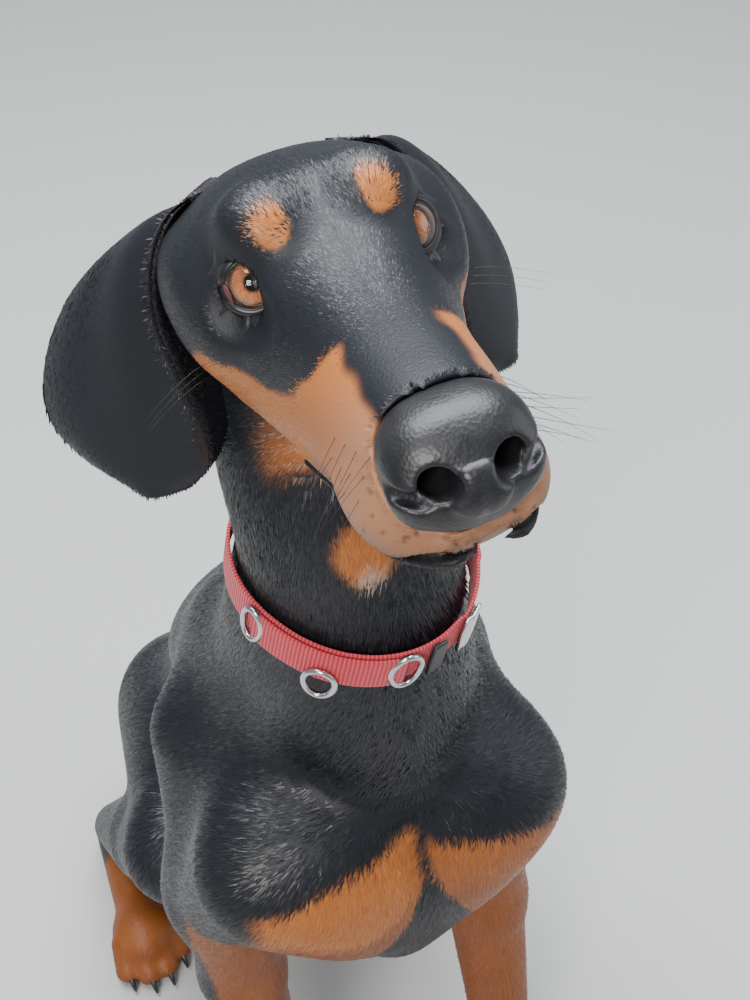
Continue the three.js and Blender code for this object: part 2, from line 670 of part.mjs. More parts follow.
// Ears: a soft flap between a front and a rear edge, from the skull's side to the rounded tip.
// Columns: front edge (forward, out, up), rear edge (forward, out, up)
const EAR = [
  [-50, 24, 24, -80, 22, 8],
  [-55, 46, 17, -96, 48, 3],
  [-55, 60, 0, -113, 74, -11],
  [-53, 67, -24, -122, 98, -30],
  [-49, 66, -48, -120, 117, -54],
  [-45, 64, -72, -111, 124, -76],
  [-45, 66, -92, -94, 116, -93],
  [-53, 76, -104, -76, 99, -105],
];
const EAR_FLARE = { right: 1, left: 0.8 };
const EAR_SIDES = 7;
const EAR_BOW = 9;            // how far the flap bulges forward between its edges
const headGrown = facets(dogField, ...HEAD_BOX, HEAD_STEP, 3 * GAP);
for (const [name, leg] of Object.entries(LEGS)) {
  const flare = (y) => 44 + (y - 44) * EAR_FLARE[name];
  const list = EAR.map((e, i) => {
    const front = mirror([e[0], flare(e[1]), e[2]], leg.side);
    const rear = mirror([e[3], flare(e[4]), e[5]], leg.side);
    const width = rear.clone().sub(front);
    const down = mirror([0, 0, -1], leg.side).sub(mirror([0, 0, 0], leg.side));
    const out = new THREE.Vector3().crossVectors(width, down).normalize();
    if (out.dot(HEAD_FORWARD) < 0) out.negate();
    const thick = (EAR_THICK / 2) * (i < 2 ? 2 - 0.5 * i : 1);
    const point = (s, way) => {
      const side = way * thick * Math.sqrt(Math.sin(Math.PI * (0.06 + 0.88 * s)));
      return front.clone().addScaledVector(width, s).addScaledVector(out, EAR_BOW * Math.sin(Math.PI * s) + side);
    };
    const ring = [];
    for (let j = 0; j <= EAR_SIDES; j += 1) ring.push(point(j / EAR_SIDES, 1));
    for (let j = EAR_SIDES; j >= 0; j -= 1) ring.push(point(j / EAR_SIDES, -1));
    return ring;
  });
  add(`ear_${name}`, rings(list).subtract(headGrown), 'coat');
}
add('head', head, 'coat');

// Collar: a flat band round the neck, with its control loop, rings, slide and keeper
const COLLAR_AT = new THREE.Vector3(-8, 78, 634);
const COLLAR_TILT = new THREE.Vector3(0.1, -0.16, 1).normalize();   // upright of the band
const COLLAR_X = new THREE.Vector3(1, 0, 0).addScaledVector(COLLAR_TILT, -COLLAR_TILT.x).normalize();
const COLLAR_Y = new THREE.Vector3().crossVectors(COLLAR_TILT, COLLAR_X);
function neckReach(a, lift) {
  const way = COLLAR_X.clone().multiplyScalar(Math.cos(a)).addScaledVector(COLLAR_Y, Math.sin(a));
  let near = 20;
  let far = 160;
  for (let i = 0; i < 30; i += 1) {
    const mid = (near + far) / 2;
    const p = COLLAR_AT.clone().addScaledVector(way, mid).addScaledVector(COLLAR_TILT, lift);
    if (bodyField(p.toArray()) < 0) near = mid;
    else far = mid;
  }
  return near;
}
function collarPoint(a, out, lift) {
  const way = COLLAR_X.clone().multiplyScalar(Math.cos(a)).addScaledVector(COLLAR_Y, Math.sin(a));
  const r = Math.max(neckReach(a, -COLLAR_WIDTH / 2), neckReach(a, COLLAR_WIDTH / 2), neckReach(a, 0)) + out;
  return COLLAR_AT.clone().addScaledVector(way, r).addScaledVector(COLLAR_TILT, lift);
}
// A closed band from one angle to another, or all the way round
function band(from, to, out, thick, low, high, steps) {
  const full = Math.abs(to - from) > 6.28;
  const flat = [];
  const index = [];
  const n = full ? steps : steps + 1;
  for (let i = 0; i < n; i += 1) {
    const a = from + ((to - from) * i) / steps;
    for (const [o, l] of [[out, low], [out + thick, low], [out + thick, high], [out, high]]) {
      const p = collarPoint(a, o, l);
      flat.push(p.x, p.y, p.z);
    }
  }
  for (let i = 0; i < (full ? n : n - 1); i += 1) {
    const p = 4 * i;
    const q = 4 * ((i + 1) % n);
    for (let j = 0; j < 4; j += 1) {
      const k = (j + 1) % 4;
      index.push(p + j, p + k, q + k, p + j, q + k, q + j);
    }
  }
  if (!full) {
    const e = 4 * (n - 1);
    index.push(0, 2, 1, 0, 3, 2, e, e + 1, e + 2, e, e + 2, e + 3);
  }
  return oriented(flat, index);
}
const COLLAR_OFF = 1.2;
const half = COLLAR_WIDTH / 2;
add('collar_band', band(0, 2 * Math.PI, COLLAR_OFF, COLLAR_THICK, -half, half, 44), 'webbing');
const OUTER = COLLAR_OFF + COLLAR_THICK + GAP * 3;
const FRONT = -Math.PI / 2;
const LOOP_FROM = FRONT - 1.26;
const LOOP_TO = FRONT - 0.05;
add('collar_loop', band(LOOP_FROM, LOOP_TO, OUTER, COLLAR_THICK, -half, half, 16), 'webbing');

// Wire rings lying flat on the band at both ends of the loop, and the D-ring hanging from its middle
const WIRE = 1.9;
const NECK_RADIUS = 72;
const ringRoom = band(LOOP_FROM, LOOP_TO, OUTER - GAP, COLLAR_THICK + 2 * GAP, -half - GAP, half + GAP, 16);
function wireRing(angle, wide, tall, out, drop) {
  const g = new THREE.TorusGeometry(wide, WIRE, 6, 16);
  const pos = g.attributes.position;
  for (let i = 0; i < pos.count; i += 1) {
    const a = angle + pos.getX(i) / NECK_RADIUS;
    const p = collarPoint(a, out + WIRE + pos.getZ(i), (pos.getY(i) * tall) / wide + drop);
    pos.setXYZ(i, p.x, p.y, p.z);
  }
  return fromGeometry(g);
}
add('ring_right', wireRing(LOOP_FROM, 10, 15, OUTER + GAP, 0).subtract(ringRoom), 'metal');
add('ring_left', wireRing(LOOP_TO, 11, 15, OUTER + GAP, 0).subtract(ringRoom), 'metal');
add('dee_ring', wireRing(FRONT - 0.64, 12, 14, OUTER + COLLAR_THICK + GAP, -half), 'metal');

// Keeper and slide: plates across the band
const PLATE_OUT = OUTER + 0.5;
const PLATE_THICK = 2.5;
const KEEPER_AT = FRONT + 0.2;
const KEEPER_HALF = 0.055;
add('keeper', band(KEEPER_AT - KEEPER_HALF, KEEPER_AT + KEEPER_HALF, PLATE_OUT, PLATE_THICK,
  -half - 1, half + 1, 3), 'keeper');
const SLIDE_AT = FRONT + 0.56;
const SLIDE_HALF = 0.09;
add('slide', band(SLIDE_AT - SLIDE_HALF, SLIDE_AT + SLIDE_HALF, PLATE_OUT, PLATE_THICK,
  -half - 3, half + 3, 4), 'metal');

export default group;
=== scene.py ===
# %% [markdown]
# # A Doberman pinscher, sitting
# The dog sits with its head raised and turned to the camera. Its body is one rounded form, given by a
# field that is negative inside the animal. The same stations and muscles that shape the solids shape the
# skin here, in much finer steps, so that skin, coat and collar stand in one frame. Lengths in the tables
# are millimetres from the breastbone; everything that is built is in metres.

# %%
import json
import math
import bpy
import numpy as np
from mathutils import Matrix

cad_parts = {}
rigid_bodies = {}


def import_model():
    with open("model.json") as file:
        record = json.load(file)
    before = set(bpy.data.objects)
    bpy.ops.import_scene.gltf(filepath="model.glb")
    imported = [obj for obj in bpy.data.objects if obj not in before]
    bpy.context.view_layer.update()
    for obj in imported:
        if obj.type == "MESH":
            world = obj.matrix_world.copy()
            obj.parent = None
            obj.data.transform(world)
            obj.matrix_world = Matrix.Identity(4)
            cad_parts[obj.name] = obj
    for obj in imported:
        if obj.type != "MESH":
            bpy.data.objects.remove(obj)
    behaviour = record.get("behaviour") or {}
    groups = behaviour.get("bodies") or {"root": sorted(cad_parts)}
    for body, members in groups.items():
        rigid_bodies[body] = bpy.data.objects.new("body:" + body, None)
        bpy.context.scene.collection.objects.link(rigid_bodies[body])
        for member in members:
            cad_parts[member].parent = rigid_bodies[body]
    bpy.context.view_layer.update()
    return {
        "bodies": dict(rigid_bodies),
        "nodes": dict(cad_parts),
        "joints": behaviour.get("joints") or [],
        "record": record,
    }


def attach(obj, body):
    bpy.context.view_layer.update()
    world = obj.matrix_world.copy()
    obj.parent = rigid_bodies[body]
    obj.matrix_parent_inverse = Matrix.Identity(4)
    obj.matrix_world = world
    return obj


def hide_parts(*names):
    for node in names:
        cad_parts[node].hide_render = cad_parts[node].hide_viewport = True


for old in list(bpy.data.objects):
    bpy.data.objects.remove(old)
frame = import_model()
CENTRE = np.array([-0.87, 221.71, 0.0])
rng = np.random.default_rng(11)


def metres(p):
    """Millimetres from the breastbone to metres in the row frame."""
    return (np.asarray(p, float) - CENTRE) / 1000


def unit(v):
    """A vector, or rows of vectors, at length one."""
    v = np.asarray(v, float)
    return v / np.maximum(np.linalg.norm(v, axis=-1, keepdims=True), 1e-12)


# %% [markdown]
# ## The trunk, the head and the legs
# A sitting dog's back runs from the rump on the floor up to the nape. Each station of the trunk gives its
# middle line and the half width, and how deep the flesh is towards the back and the belly. The head is a
# row of sections along the muzzle with their own squareness, which gives the flat cheeks and the long
# wedge of the breed. The legs are tapered limbs and rounded muscles.

# %%
TRUNK = np.array([
    [398, 72, 26, 56, 46, 42], [376, 150, 26, 74, 58, 60], [328, 255, 27, 76, 57, 84],
    [272, 350, 26, 85, 58, 112], [215, 430, 20, 93, 58, 138], [158, 490, 13, 87, 58, 144],
    [116, 545, 4, 75, 56, 110], [90, 600, -5, 65, 59, 80], [76, 655, -9, 57, 56, 60],
    [82, 715, -15, 55, 52, 54], [102, 762, -19, 50, 44, 46]], float)
HEAD = np.array([
    [-100, 3, -14, 20, -5, 2.0, 2.0], [-88, 13, -38, 38, -8, 2.1, 2.0], [-68, 24, -56, 50, -11, 2.2, 2.1],
    [-46, 31, -70, 56, -14, 2.3, 2.2], [-20, 36, -78, 56, -17, 2.4, 2.2], [0, 36, -80, 50, -22, 2.5, 2.2],
    [18, 27, -78, 44, -30, 2.3, 2.3], [38, 16, -75, 38, -36, 2.2, 2.4], [62, 9, -71, 34.5, -40, 2.2, 2.6],
    [88, 4, -68, 33, -41, 2.2, 2.7], [108, 0, -66, 31, -41, 2.2, 2.6], [122, -5, -62, 26, -37, 2.2, 2.4],
    [132, -14, -53, 16, -33, 2.0, 2.0]], float)
TAIL = np.array([[26, 418, 118], [26, 452, 78], [28, 478, 38], [34, 504, 14], [52, 528, 11], [90, 538, 9.2],
                 [126, 528, 7.3], [150, 506, 5]], float)
TAIL_RADII = [25, 21, 17.5, 15, 12.5, 10.5, 8.5, 5.5]
HEAD_AT = np.array([-32.0, 40.0, 850.0])
HF = unit([-0.1325, -0.958, 0.251])
HL = np.array([0.985, -0.098, 0.1435])
HL = unit(HL - HL.dot(HF) * HF)
HU = np.cross(HF, HL)
FROM_HEAD = np.stack([HF, HL, HU])
TO_HEAD = np.stack([HF, HL, HU], 1)
LEGS = {
    1: dict(shoulder=[72, 40, 432], elbow=[84, 80, 338], carpus=[78, 6, 132], pastern=[76, -12, 62],
            paw=[75, -30, 27], hip=[76, 345, 172], knee=[112, 202, 238], hock=[124, 362, 50],
            toe=[124, 272, 26]),
    -1: dict(shoulder=[-80, 44, 436], elbow=[-92, 98, 340], carpus=[-88, 44, 132], pastern=[-86, 26, 62],
             paw=[-85, 8, 27], hip=[-34, 345, 172], knee=[-92, 200, 240], hock=[-110, 362, 50],
             toe=[-124, 270, 26]),
}


def curve(xs, ys, t):
    """Cubic curve through (xs, ys) whose slope at a point is that between its two neighbours."""
    m = np.empty(len(xs))
    m[1:-1] = (ys[2:] - ys[:-2]) / (xs[2:] - xs[:-2])
    m[0] = (ys[1] - ys[0]) / (xs[1] - xs[0])
    m[-1] = (ys[-1] - ys[-2]) / (xs[-1] - xs[-2])
    i = np.clip(np.searchsorted(xs, t, side="right") - 1, 0, len(xs) - 2)
    h = xs[i + 1] - xs[i]
    u = np.clip((t - xs[i]) / h, 0, 1)
    v = 1 - u
    return ((1 + 2 * u) * v * v * ys[i] + u * v * v * h * m[i]
            + u * u * (3 - 2 * u) * ys[i + 1] - u * u * v * h * m[i + 1])


def blend(a, b, k):
    """Smooth union of two fields: where they are within k of each other the joint is rounded."""
    h = np.clip(0.5 + 0.5 * (b - a) / k, 0, 1)
    return b * (1 - h) + a * h - k * h * (1 - h)


def carve(a, b, k):
    """Field a with b taken away, with a rounded edge of width k."""
    return -blend(-a, b, k)


def limb(p, a, b, ra, rb, flat=1.0):
    """Distance to a rod from a to b with radii ra and rb, flattened sideways by flat."""
    a, b = np.asarray(a, float), np.asarray(b, float)
    s = np.array([1 / flat, 1, 1])
    q = (p - a) * s
    d = (b - a) * s
    t = np.clip(q @ d / d.dot(d), 0, 1)
    return np.linalg.norm(q - t[:, None] * d, axis=1) - (ra + (rb - ra) * t)


def mass(p, c, r):
    """Distance, near enough, to an ellipsoid at c with half sizes r."""
    v = (p - np.asarray(c, float)) / np.asarray(r, float)
    q = np.linalg.norm(v, axis=1)
    g = np.linalg.norm(v / np.asarray(r, float), axis=1)
    return q * (q - 1) / (g + 1e-9)


run = np.concatenate([[0], np.cumsum(np.hypot(np.diff(TRUNK[:, 0]), np.diff(TRUNK[:, 1])))])
steps = np.linspace(0, run[-1], 161)
SPINE = np.stack([curve(run, TRUNK[:, k], steps) for k in range(6)], 1)
rise = np.gradient(SPINE[:, :2], axis=0)
rise[0], rise[-1] = SPINE[1, :2] - SPINE[0, :2], SPINE[-1, :2] - SPINE[-2, :2]
SPINE = np.hstack([SPINE, unit(rise)])


def nearest(p):
    """Index of the trunk's section that is nearest in the side view."""
    best = np.full(len(p), np.inf)
    at = np.zeros(len(p), int)
    for i, c in enumerate(SPINE):
        d = (p[:, 1] - c[0]) ** 2 + (p[:, 2] - c[1]) ** 2
        at[d < best] = i
        best = np.minimum(best, d)
    return at


def trunk_field(p):
    """An ellipse across the middle line, deeper towards the belly than towards the back."""
    at = nearest(p)
    s = SPINE[at]
    dy, dz = p[:, 1] - s[:, 0], p[:, 2] - s[:, 1]
    end = (at == 0) | (at == len(SPINE) - 1)
    over = np.where(end, dy * s[:, 6] + dz * s[:, 7], 0)
    off = dy * s[:, 7] - dz * s[:, 6]
    depth = np.where(off > 0, s[:, 4], s[:, 5])
    mid = (s[:, 3] + depth) / 2
    x = p[:, 0] - s[:, 2]
    q = np.sqrt((x / s[:, 3]) ** 2 + (off / depth) ** 2 + (over / mid) ** 2)
    g = np.sqrt((x / s[:, 3] ** 2) ** 2 + (off / depth ** 2) ** 2 + (over / mid ** 2) ** 2) + 1e-6
    return q * (q - 1) / g


# %% [markdown]
# ### Limbs and tail
# Shoulder blade, upper arm and thigh are broad flat muscles; forearm and shank are rods that narrow to the
# joint below. Each joint is rounded over a width of its own: wide where muscle covers it, a few
# millimetres where the bone lies under the skin. Toes are short rods side by side.

# %%
def with_shoulder(q, g, s, leg):
    """Field g at places q joined with the shoulder blade, upper arm and breast muscle of side s."""
    elbow = np.array(leg["elbow"], float)
    g = blend(g, limb(q, [s * 46 + 10, 156, 488], [s * 70, 66, 440], 33, 44, 0.72), 46)
    g = blend(g, limb(q, leg["shoulder"], elbow, 43, 37), 34)
    g = blend(g, limb(q, [s * 74, 140, 450], elbow + [0, 14, 6], 38, 27), 30)
    return blend(g, mass(q, [s * 34, 30, 416], [44, 40, 66]), 40)


def with_legs(q, g, s, leg):
    """Field g joined with the foreleg, thigh, shank and hind foot's long bones of side s."""
    elbow, carpus, knee, hock = (np.array(leg[k], float) for k in ("elbow", "carpus", "knee", "hock"))
    mid = elbow * 0.62 + carpus * 0.38 + [s * 2, 4, 0]
    g = blend(g, limb(q, elbow - [0, 8, 8], mid, 34, 29), 16)
    g = blend(g, limb(q, mid, carpus, 29, 21), 12)
    g = blend(g, limb(q, carpus, leg["pastern"], 22, 19), 8)
    g = blend(g, limb(q, leg["pastern"], leg["paw"], 20, 22), 12)
    g = blend(g, limb(q, leg["hip"], knee + [-s * 8, 14, -4], 82, 52, 0.72), 34)
    g = blend(g, mass(q, [s * 48 + 22, 378, 76], [46, 66, 78]), 30)
    g = blend(g, limb(q, knee, hock, 44, 19), 14)
    g = blend(g, limb(q, [knee[0] - s * 2, 262, 172], hock, 40, 16), 18)
    toe = leg["toe"]
    return blend(g, limb(q, [hock[0], hock[1] + 14, 18], [toe[0], toe[1], 19], 20, 19.5), 10)


TOES = (-1.5, -0.5, 0.5, 1.5)
FEET = (("paw", 30), ("toe", 34))


def toe_reach(toe, reach):
    """How far a toe goes forward: the two in the middle lead by 10 mm."""
    return reach if abs(toe) < 1 else reach - 10


def with_feet(q, g, leg):
    """Field g joined with a rounded pad and four toes on each of a side's two feet."""
    for name, reach in FEET:
        x, y = leg[name][:2]
        g = blend(g, mass(q, [x, y - 4, 22], [28, 30, 24.5]), 12)
        for toe in TOES:
            knuckle = [x + toe * 13, y - 8, 26]
            end = [x + toe * 15.5, y - toe_reach(toe, reach), 11.5]
            g = blend(g, limb(q, knuckle, end, 12, 12), 4)
    return g


def body_field(p):
    """Smooth union of the trunk, the breast, both sides' limbs and feet, and the tail."""
    f = blend(trunk_field(p), mass(p, [5, 84, 352], [56, 80, 86]), 40)
    for s, leg in LEGS.items():
        near = np.flatnonzero(p[:, 0] * s > -64)
        top = near[p[near, 2] > 200]
        f[top] = with_shoulder(p[top], f[top], s, leg)
        low = near[p[near, 2] < 420]
        f[low] = with_legs(p[low], f[low], s, leg)
        feet = low[p[low, 2] < 70]
        f[feet] = with_feet(p[feet], f[feet], leg)
    behind = (p[:, 1] > 380) | ((p[:, 2] < 30) & (p[:, 1] > 300))
    near = np.flatnonzero(behind & (p[:, 2] < 180))
    for a, b, ra, rb in zip(TAIL[:-1], TAIL[1:], TAIL_RADII[:-1], TAIL_RADII[1:]):
        f[near] = blend(f[near], limb(p[near], a, b, ra, rb), 5)
    return f


# %% [markdown]
# ### The head's directions
# The head is raised and turned, so it is shaped in directions of its own, with forward along the muzzle.

# %%
def head_local(p):
    """Forward, left and up from the middle between the eyes."""
    return (p - HEAD_AT) @ TO_HEAD


def head_world(v):
    """The place of a point that is given in the head's own directions."""
    return HEAD_AT + np.asarray(v, float) @ FROM_HEAD


def one_side(v):
    """Points in the head's directions, folded onto its left half: (x, |y|, z)."""
    return np.stack([v[:, 0], np.abs(v[:, 1]), v[:, 2]], 1)


# %% [markdown]
# ## The face
# Nose, lips and lids are where the face is read, so they are shaped more finely than the solids: a brow
# ridge over each eye, a hollow in front of it, flews that hang a little over the lower jaw, a soft lip
# roll with the mouth line under it, and a lower lip that shows below. The eye sits in a socket.

# %%
EYE = np.array([7.0, 31.0, 4.0])
EYEBALL = 11.0
SIGHT = unit([0.9, 0.36, 0.26])
MOUTH = np.array([[134.5, 0, -51], [133, 9, -51.5], [128, 17, -52.5], [120, 0, -54], [102, 0, -57],
                  [82, 0, -60], [62, 0, -62], [46, 0, -61], [34, 0, -56]], float)


def cheek_at(x, z):
    """Half width of the head's section at a place along the muzzle and a level."""
    top, bottom, width, level, upper, lower = (curve(HEAD[:, 0], HEAD[:, k], x) for k in range(1, 7))
    high = z > level
    part = np.abs(z - level) / np.where(high, top - level, level - bottom)
    n = np.where(high, upper, lower)
    return width * np.maximum(0, 1 - part ** n) ** (1 / n)


MOUTH[3:, 1] = cheek_at(MOUTH[3:, 0], MOUTH[3:, 2]) - 0.5
LIP = np.stack([curve(np.linspace(0, 1, 9), MOUTH[:, k], np.linspace(0, 1, 49)) for k in range(3)], 1)


def from_lip(q, lift):
    """Distance from points in the head's directions, folded to one side, to the mouth line."""
    best = np.full(len(q), 1e3)
    for a, b in zip(LIP[:-1], LIP[1:]):
        d = b - a
        v = q - (a + [0, 0, lift])
        t = np.clip(v @ d / d.dot(d), 0, 1)
        best = np.minimum(best, np.linalg.norm(v - t[:, None] * d, axis=1))
    return best


NOSE = np.array([[104, -11, -26, 15], [110, -5, -36, 22], [119, -3, -42, 26], [129, -5, -45, 25.5],
                 [136, -11, -44, 20], [140, -18, -38, 11]], float)


def nose_field(p, holes=True):
    """Sections of the pad with the nostrils, slits and furrow taken away, in the head's directions."""
    x, y, z = p.T
    t = np.clip(x, NOSE[0, 0], NOSE[-1, 0])
    top, bottom, width = (curve(NOSE[:, 0], NOSE[:, k], t) for k in (1, 2, 3))
    mid = (top + bottom) / 2
    q = ((np.abs(y) / width) ** 2.4 + (np.abs(z - mid) / ((top - bottom) / 2)) ** 2.4 + 1e-9) ** (1 / 2.4)
    f = (np.hypot(q, (x - t) / 5) - 1) * width * 0.9
    m = one_side(p)
    f = blend(f, mass(m, [129, 17, -29], [9, 9, 11]), 4)
    if not holes:
        return f
    f = carve(f, limb(m, [148, 11.5, -24], [122, 13, -21], 6.6, 5.2), 3)
    f = carve(f, limb(m, [138, 18, -27], [122, 31, -23], 3.0, 2.4), 2.4)
    f = carve(f, limb(m, [147, 0, -20], [145, 0, -36], 1.2, 1.4), 2.4)
    f = carve(f, limb(m, [145, 0, -36], [131, 0, -53], 1.4, 1.6), 2.4)
    return f


def head_field(p, fine=False):
    """Sections along the muzzle with brow, cheek and flew, and with the lips and sockets when fine."""
    v = head_local(p)
    x, y, z = v.T
    t = np.clip(x, HEAD[0, 0], HEAD[-1, 0])
    top, bottom, width, level, upper, lower = (curve(HEAD[:, 0], HEAD[:, k], t) for k in range(1, 7))
    high = z > level
    height = np.where(high, top - level, level - bottom)
    n = np.where(high, upper, lower)
    q = ((np.abs(y) / width) ** n + (np.abs(z - level) / height) ** n + 1e-9) ** (1 / n)
    f = (np.hypot(q, (x - t) / 6) - 1) * np.minimum(width, height) * 0.95
    m = one_side(v)
    f = blend(f, mass(m, [4, 21, 24], [17, 16, 13]), 12)
    f = blend(f, mass(m, [-34, 46, -14], [40, 15, 24]), 14)
    f = blend(f, mass(m, [96, 20, -48], [30, 15, 17]), 10)
    f = carve(f, mass(m, [22, 43, -1], [15, 10, 10]), 8)
    if fine:
        near = np.flatnonzero((x > 24) & (z < -38) & (z > -78))
        w = m[near]
        g = blend(f[near], from_lip(w, 2.2) - 3.2, 4)
        g = blend(g, from_lip(w + [1.0, 1.5, 0], -5.6) - 3.3, 3)
        g = carve(g, from_lip(w, -2.0) - 1.5, 1.6)
        f[near] = g
        f = carve(f, np.linalg.norm(m - EYE, axis=1) - EYEBALL - 0.6, 1.2)
        tip = np.flatnonzero(x > 96)
        f[tip] = carve(f[tip], nose_field(v[tip], False) + 0.4, 0.8)
    return f


def dog_field(p, fine=False):
    """The whole animal, standing on the floor on small flats."""
    f = body_field(p)
    near = np.linalg.norm(p - [-24, 60, 830], axis=1) < 260
    h = np.full(len(p), 1e3)
    h[near] = head_field(p[near], fine)
    return np.maximum(blend(f, h, 18), -p[:, 2])


# %% [markdown]
# ## From field to skin
# The skin is drawn where the field crosses a level just under the solids' surface. A grid of cells covers
# the box; each cell that the surface crosses gets one point, and each crossed edge one quad. The points
# then slide along the field's slope, so that the skin is smooth and not stepped.

# %%
COAT_DEPTH = 1.0
EDGES = [((0, 0, 0), (1, 0, 0)), ((0, 1, 0), (1, 1, 0)), ((0, 0, 1), (1, 0, 1)), ((0, 1, 1), (1, 1, 1)),
         ((0, 0, 0), (0, 1, 0)), ((1, 0, 0), (1, 1, 0)), ((0, 0, 1), (0, 1, 1)), ((1, 0, 1), (1, 1, 1)),
         ((0, 0, 0), (0, 0, 1)), ((1, 0, 0), (1, 0, 1)), ((0, 1, 0), (0, 1, 1)), ((1, 1, 0), (1, 1, 1))]


def slope(field, p, small=0.4):
    """Gradient of a field by central steps."""
    g = np.empty_like(p)
    for d in range(3):
        step = np.zeros(3)
        step[d] = small
        g[:, d] = (field(p + step) - field(p - step)) / (2 * small)
    return g


def grid_values(field, low, high, step):
    """The field on a grid, worked out in full only in blocks near the surface."""
    n = np.ceil((np.asarray(high) - low) / step).astype(int) + 1
    n += (-(n - 1)) % 4
    axes = [low[i] + step * np.arange(n[i]) for i in range(3)]
    coarse = [a[::4] for a in axes]
    c = np.stack(np.meshgrid(*coarse, indexing="ij"), -1)
    rough = field(c.reshape(-1, 3)).reshape(c.shape[:3])
    value = np.repeat(np.repeat(np.repeat(rough, 4, 0), 4, 1), 4, 2)[:n[0], :n[1], :n[2]]
    close = np.abs(rough) < 4 * step * 2.2
    close = np.repeat(np.repeat(np.repeat(close, 4, 0), 4, 1), 4, 2)
    for axis in range(3):
        for shift in (-3, 3):
            close |= np.roll(close, shift, axis)
    close |= np.prod(n) < 600000
    at = np.argwhere(close[:n[0], :n[1], :n[2]])
    for part in np.array_split(at, max(1, len(at) // 400000)):
        p = np.asarray(low, float) + part * step
        value[part[:, 0], part[:, 1], part[:, 2]] = field(p)
    return value


# %% [markdown]
# ### Points and quads
# A cell is crossed when some of its eight corners are inside and some outside. Its point is the mean of
# the places where the surface crosses its edges, which rounds corners off a little, as skin does. A grid
# edge with one end inside joins the four cells round it in one quad, turned to face outwards.

# %%
def cell_points(value):
    """Index of each crossed cell, and its point in steps of the grid from the grid's corner."""
    s = value < 0
    shape = [m - 1 for m in value.shape]
    count = np.zeros(shape, int)
    for i, j, k in np.ndindex(2, 2, 2):
        count += s[i:shape[0] + i, j:shape[1] + j, k:shape[2] + k]
    cells = np.argwhere((count > 0) & (count < 8))
    index = -np.ones(shape, int)
    index[tuple(cells.T)] = np.arange(len(cells))
    total, crossed = np.zeros((len(cells), 3)), np.zeros(len(cells))
    for a, b in EDGES:
        fa = value[tuple((cells + a).T)]
        fb = value[tuple((cells + b).T)]
        m = (fa < 0) != (fb < 0)
        t = np.where(m, fa / np.where(m, fa - fb, 1), 0)
        total += (np.array(a) + t[:, None] * (np.array(b) - np.array(a))) * m[:, None]
        crossed += m
    return index, cells + total / crossed[:, None]


def edge_quads(s, index):
    """One quad of cells round each grid edge that has one end inside, where s is true."""
    quads = []
    for d, (e, g) in enumerate([(1, 2), (2, 0), (0, 1)]):
        s0 = s.take(range(s.shape[d] - 1), axis=d)
        s1 = s.take(range(1, s.shape[d]), axis=d)
        at = np.argwhere(s0 != s1)
        at = at[(at[:, e] > 0) & (at[:, g] > 0) & (at[:, e] < s.shape[e] - 1) & (at[:, g] < s.shape[g] - 1)]
        first = s0[tuple(at.T)]
        around = []
        for back, down in ((0, 0), (1, 0), (1, 1), (0, 1)):
            c = at.copy()
            c[:, e] -= back
            c[:, g] -= down
            around.append(index[tuple(c.T)])
        q = np.stack(around, 1)
        q[~first] = q[~first][:, ::-1]
        quads.append(q)
    return np.concatenate(quads)


def nets(field, low, high, step, level):
    """Points and quads of the surface where the field equals level, slid along its slope twice."""
    value = grid_values(field, low, high, step) - level
    for d in range(3):
        edge = [slice(None)] * 3
        for end in (0, -1):
            edge[d] = end
            value[tuple(edge)] = step
    index, at = cell_points(value)
    points = np.asarray(low, float) + at * step
    for _ in range(2):
        f = field(points) - level
        g = slope(field, points)
        move = np.clip(f / ((g ** 2).sum(1) + 1e-6), -0.4 * step, 0.4 * step)
        points = points - g * move[:, None]
    return points, edge_quads(value < 0, index)


# %% [markdown]
# ### Meshes
# Each piece is written in one go from its arrays. Colour is stored per point as "tone".

# %%
def mesh(name, points, faces, colour=None, smooth=True, **numbers):
    """A named mesh object from points in metres and faces, with a colour and other values per point."""
    points = np.asarray(points, np.float32).reshape(-1, 3)
    sides = faces.shape[1]
    m = bpy.data.meshes.new(name)
    m.vertices.add(len(points))
    m.vertices.foreach_set("co", points.ravel())
    m.loops.add(faces.size)
    m.loops.foreach_set("vertex_index", np.ascontiguousarray(faces, np.int32).ravel())
    m.polygons.add(len(faces))
    m.polygons.foreach_set("loop_start", np.arange(0, faces.size, sides, dtype=np.int32))
    m.polygons.foreach_set("use_smooth", np.full(len(faces), smooth))
    m.update(calc_edges=True)
    if colour is not None:
        rgba = np.ones((len(points), 4), np.float32)
        rgba[:, :3] = colour
        m.attributes.new("tone", "FLOAT_COLOR", "POINT").data.foreach_set("color", rgba.ravel())
    for key, value in numbers.items():
        m.attributes.new(key, "FLOAT", "POINT").data.foreach_set("value", np.asarray(value, np.float32))
    o = bpy.data.objects.new(name, m)
    bpy.context.scene.collection.objects.link(o)
    return o


# %% [markdown]
# The collar lies on the neck, so the seam between the fine skin of the head and the coarser skin of the
# body is put under the webbing, where it can't be seen.

# %%
COLLAR_AT = np.array([-8.0, 78.0, 634.0])
COLLAR_UP = unit([0.1, -0.16, 1])
COLLAR_X = unit(np.array([1.0, 0, 0]) - COLLAR_UP[0] * COLLAR_UP)
COLLAR_Y = np.cross(COLLAR_UP, COLLAR_X)


def above_collar(p):
    """How far a point is above the middle of the webbing."""
    return (p - COLLAR_AT) @ COLLAR_UP


def trim(points, quads, keep):
    """The quads whose points are all kept, with the points they use."""
    q = quads[keep[quads].all(1)]
    used = np.unique(q)
    index = np.zeros(len(points), int)
    index[used] = np.arange(len(used))
    return points[used], index[q]


def fine_field(p):
    """The whole animal with lips, sockets and the bed of the nose."""
    return dog_field(p, True)


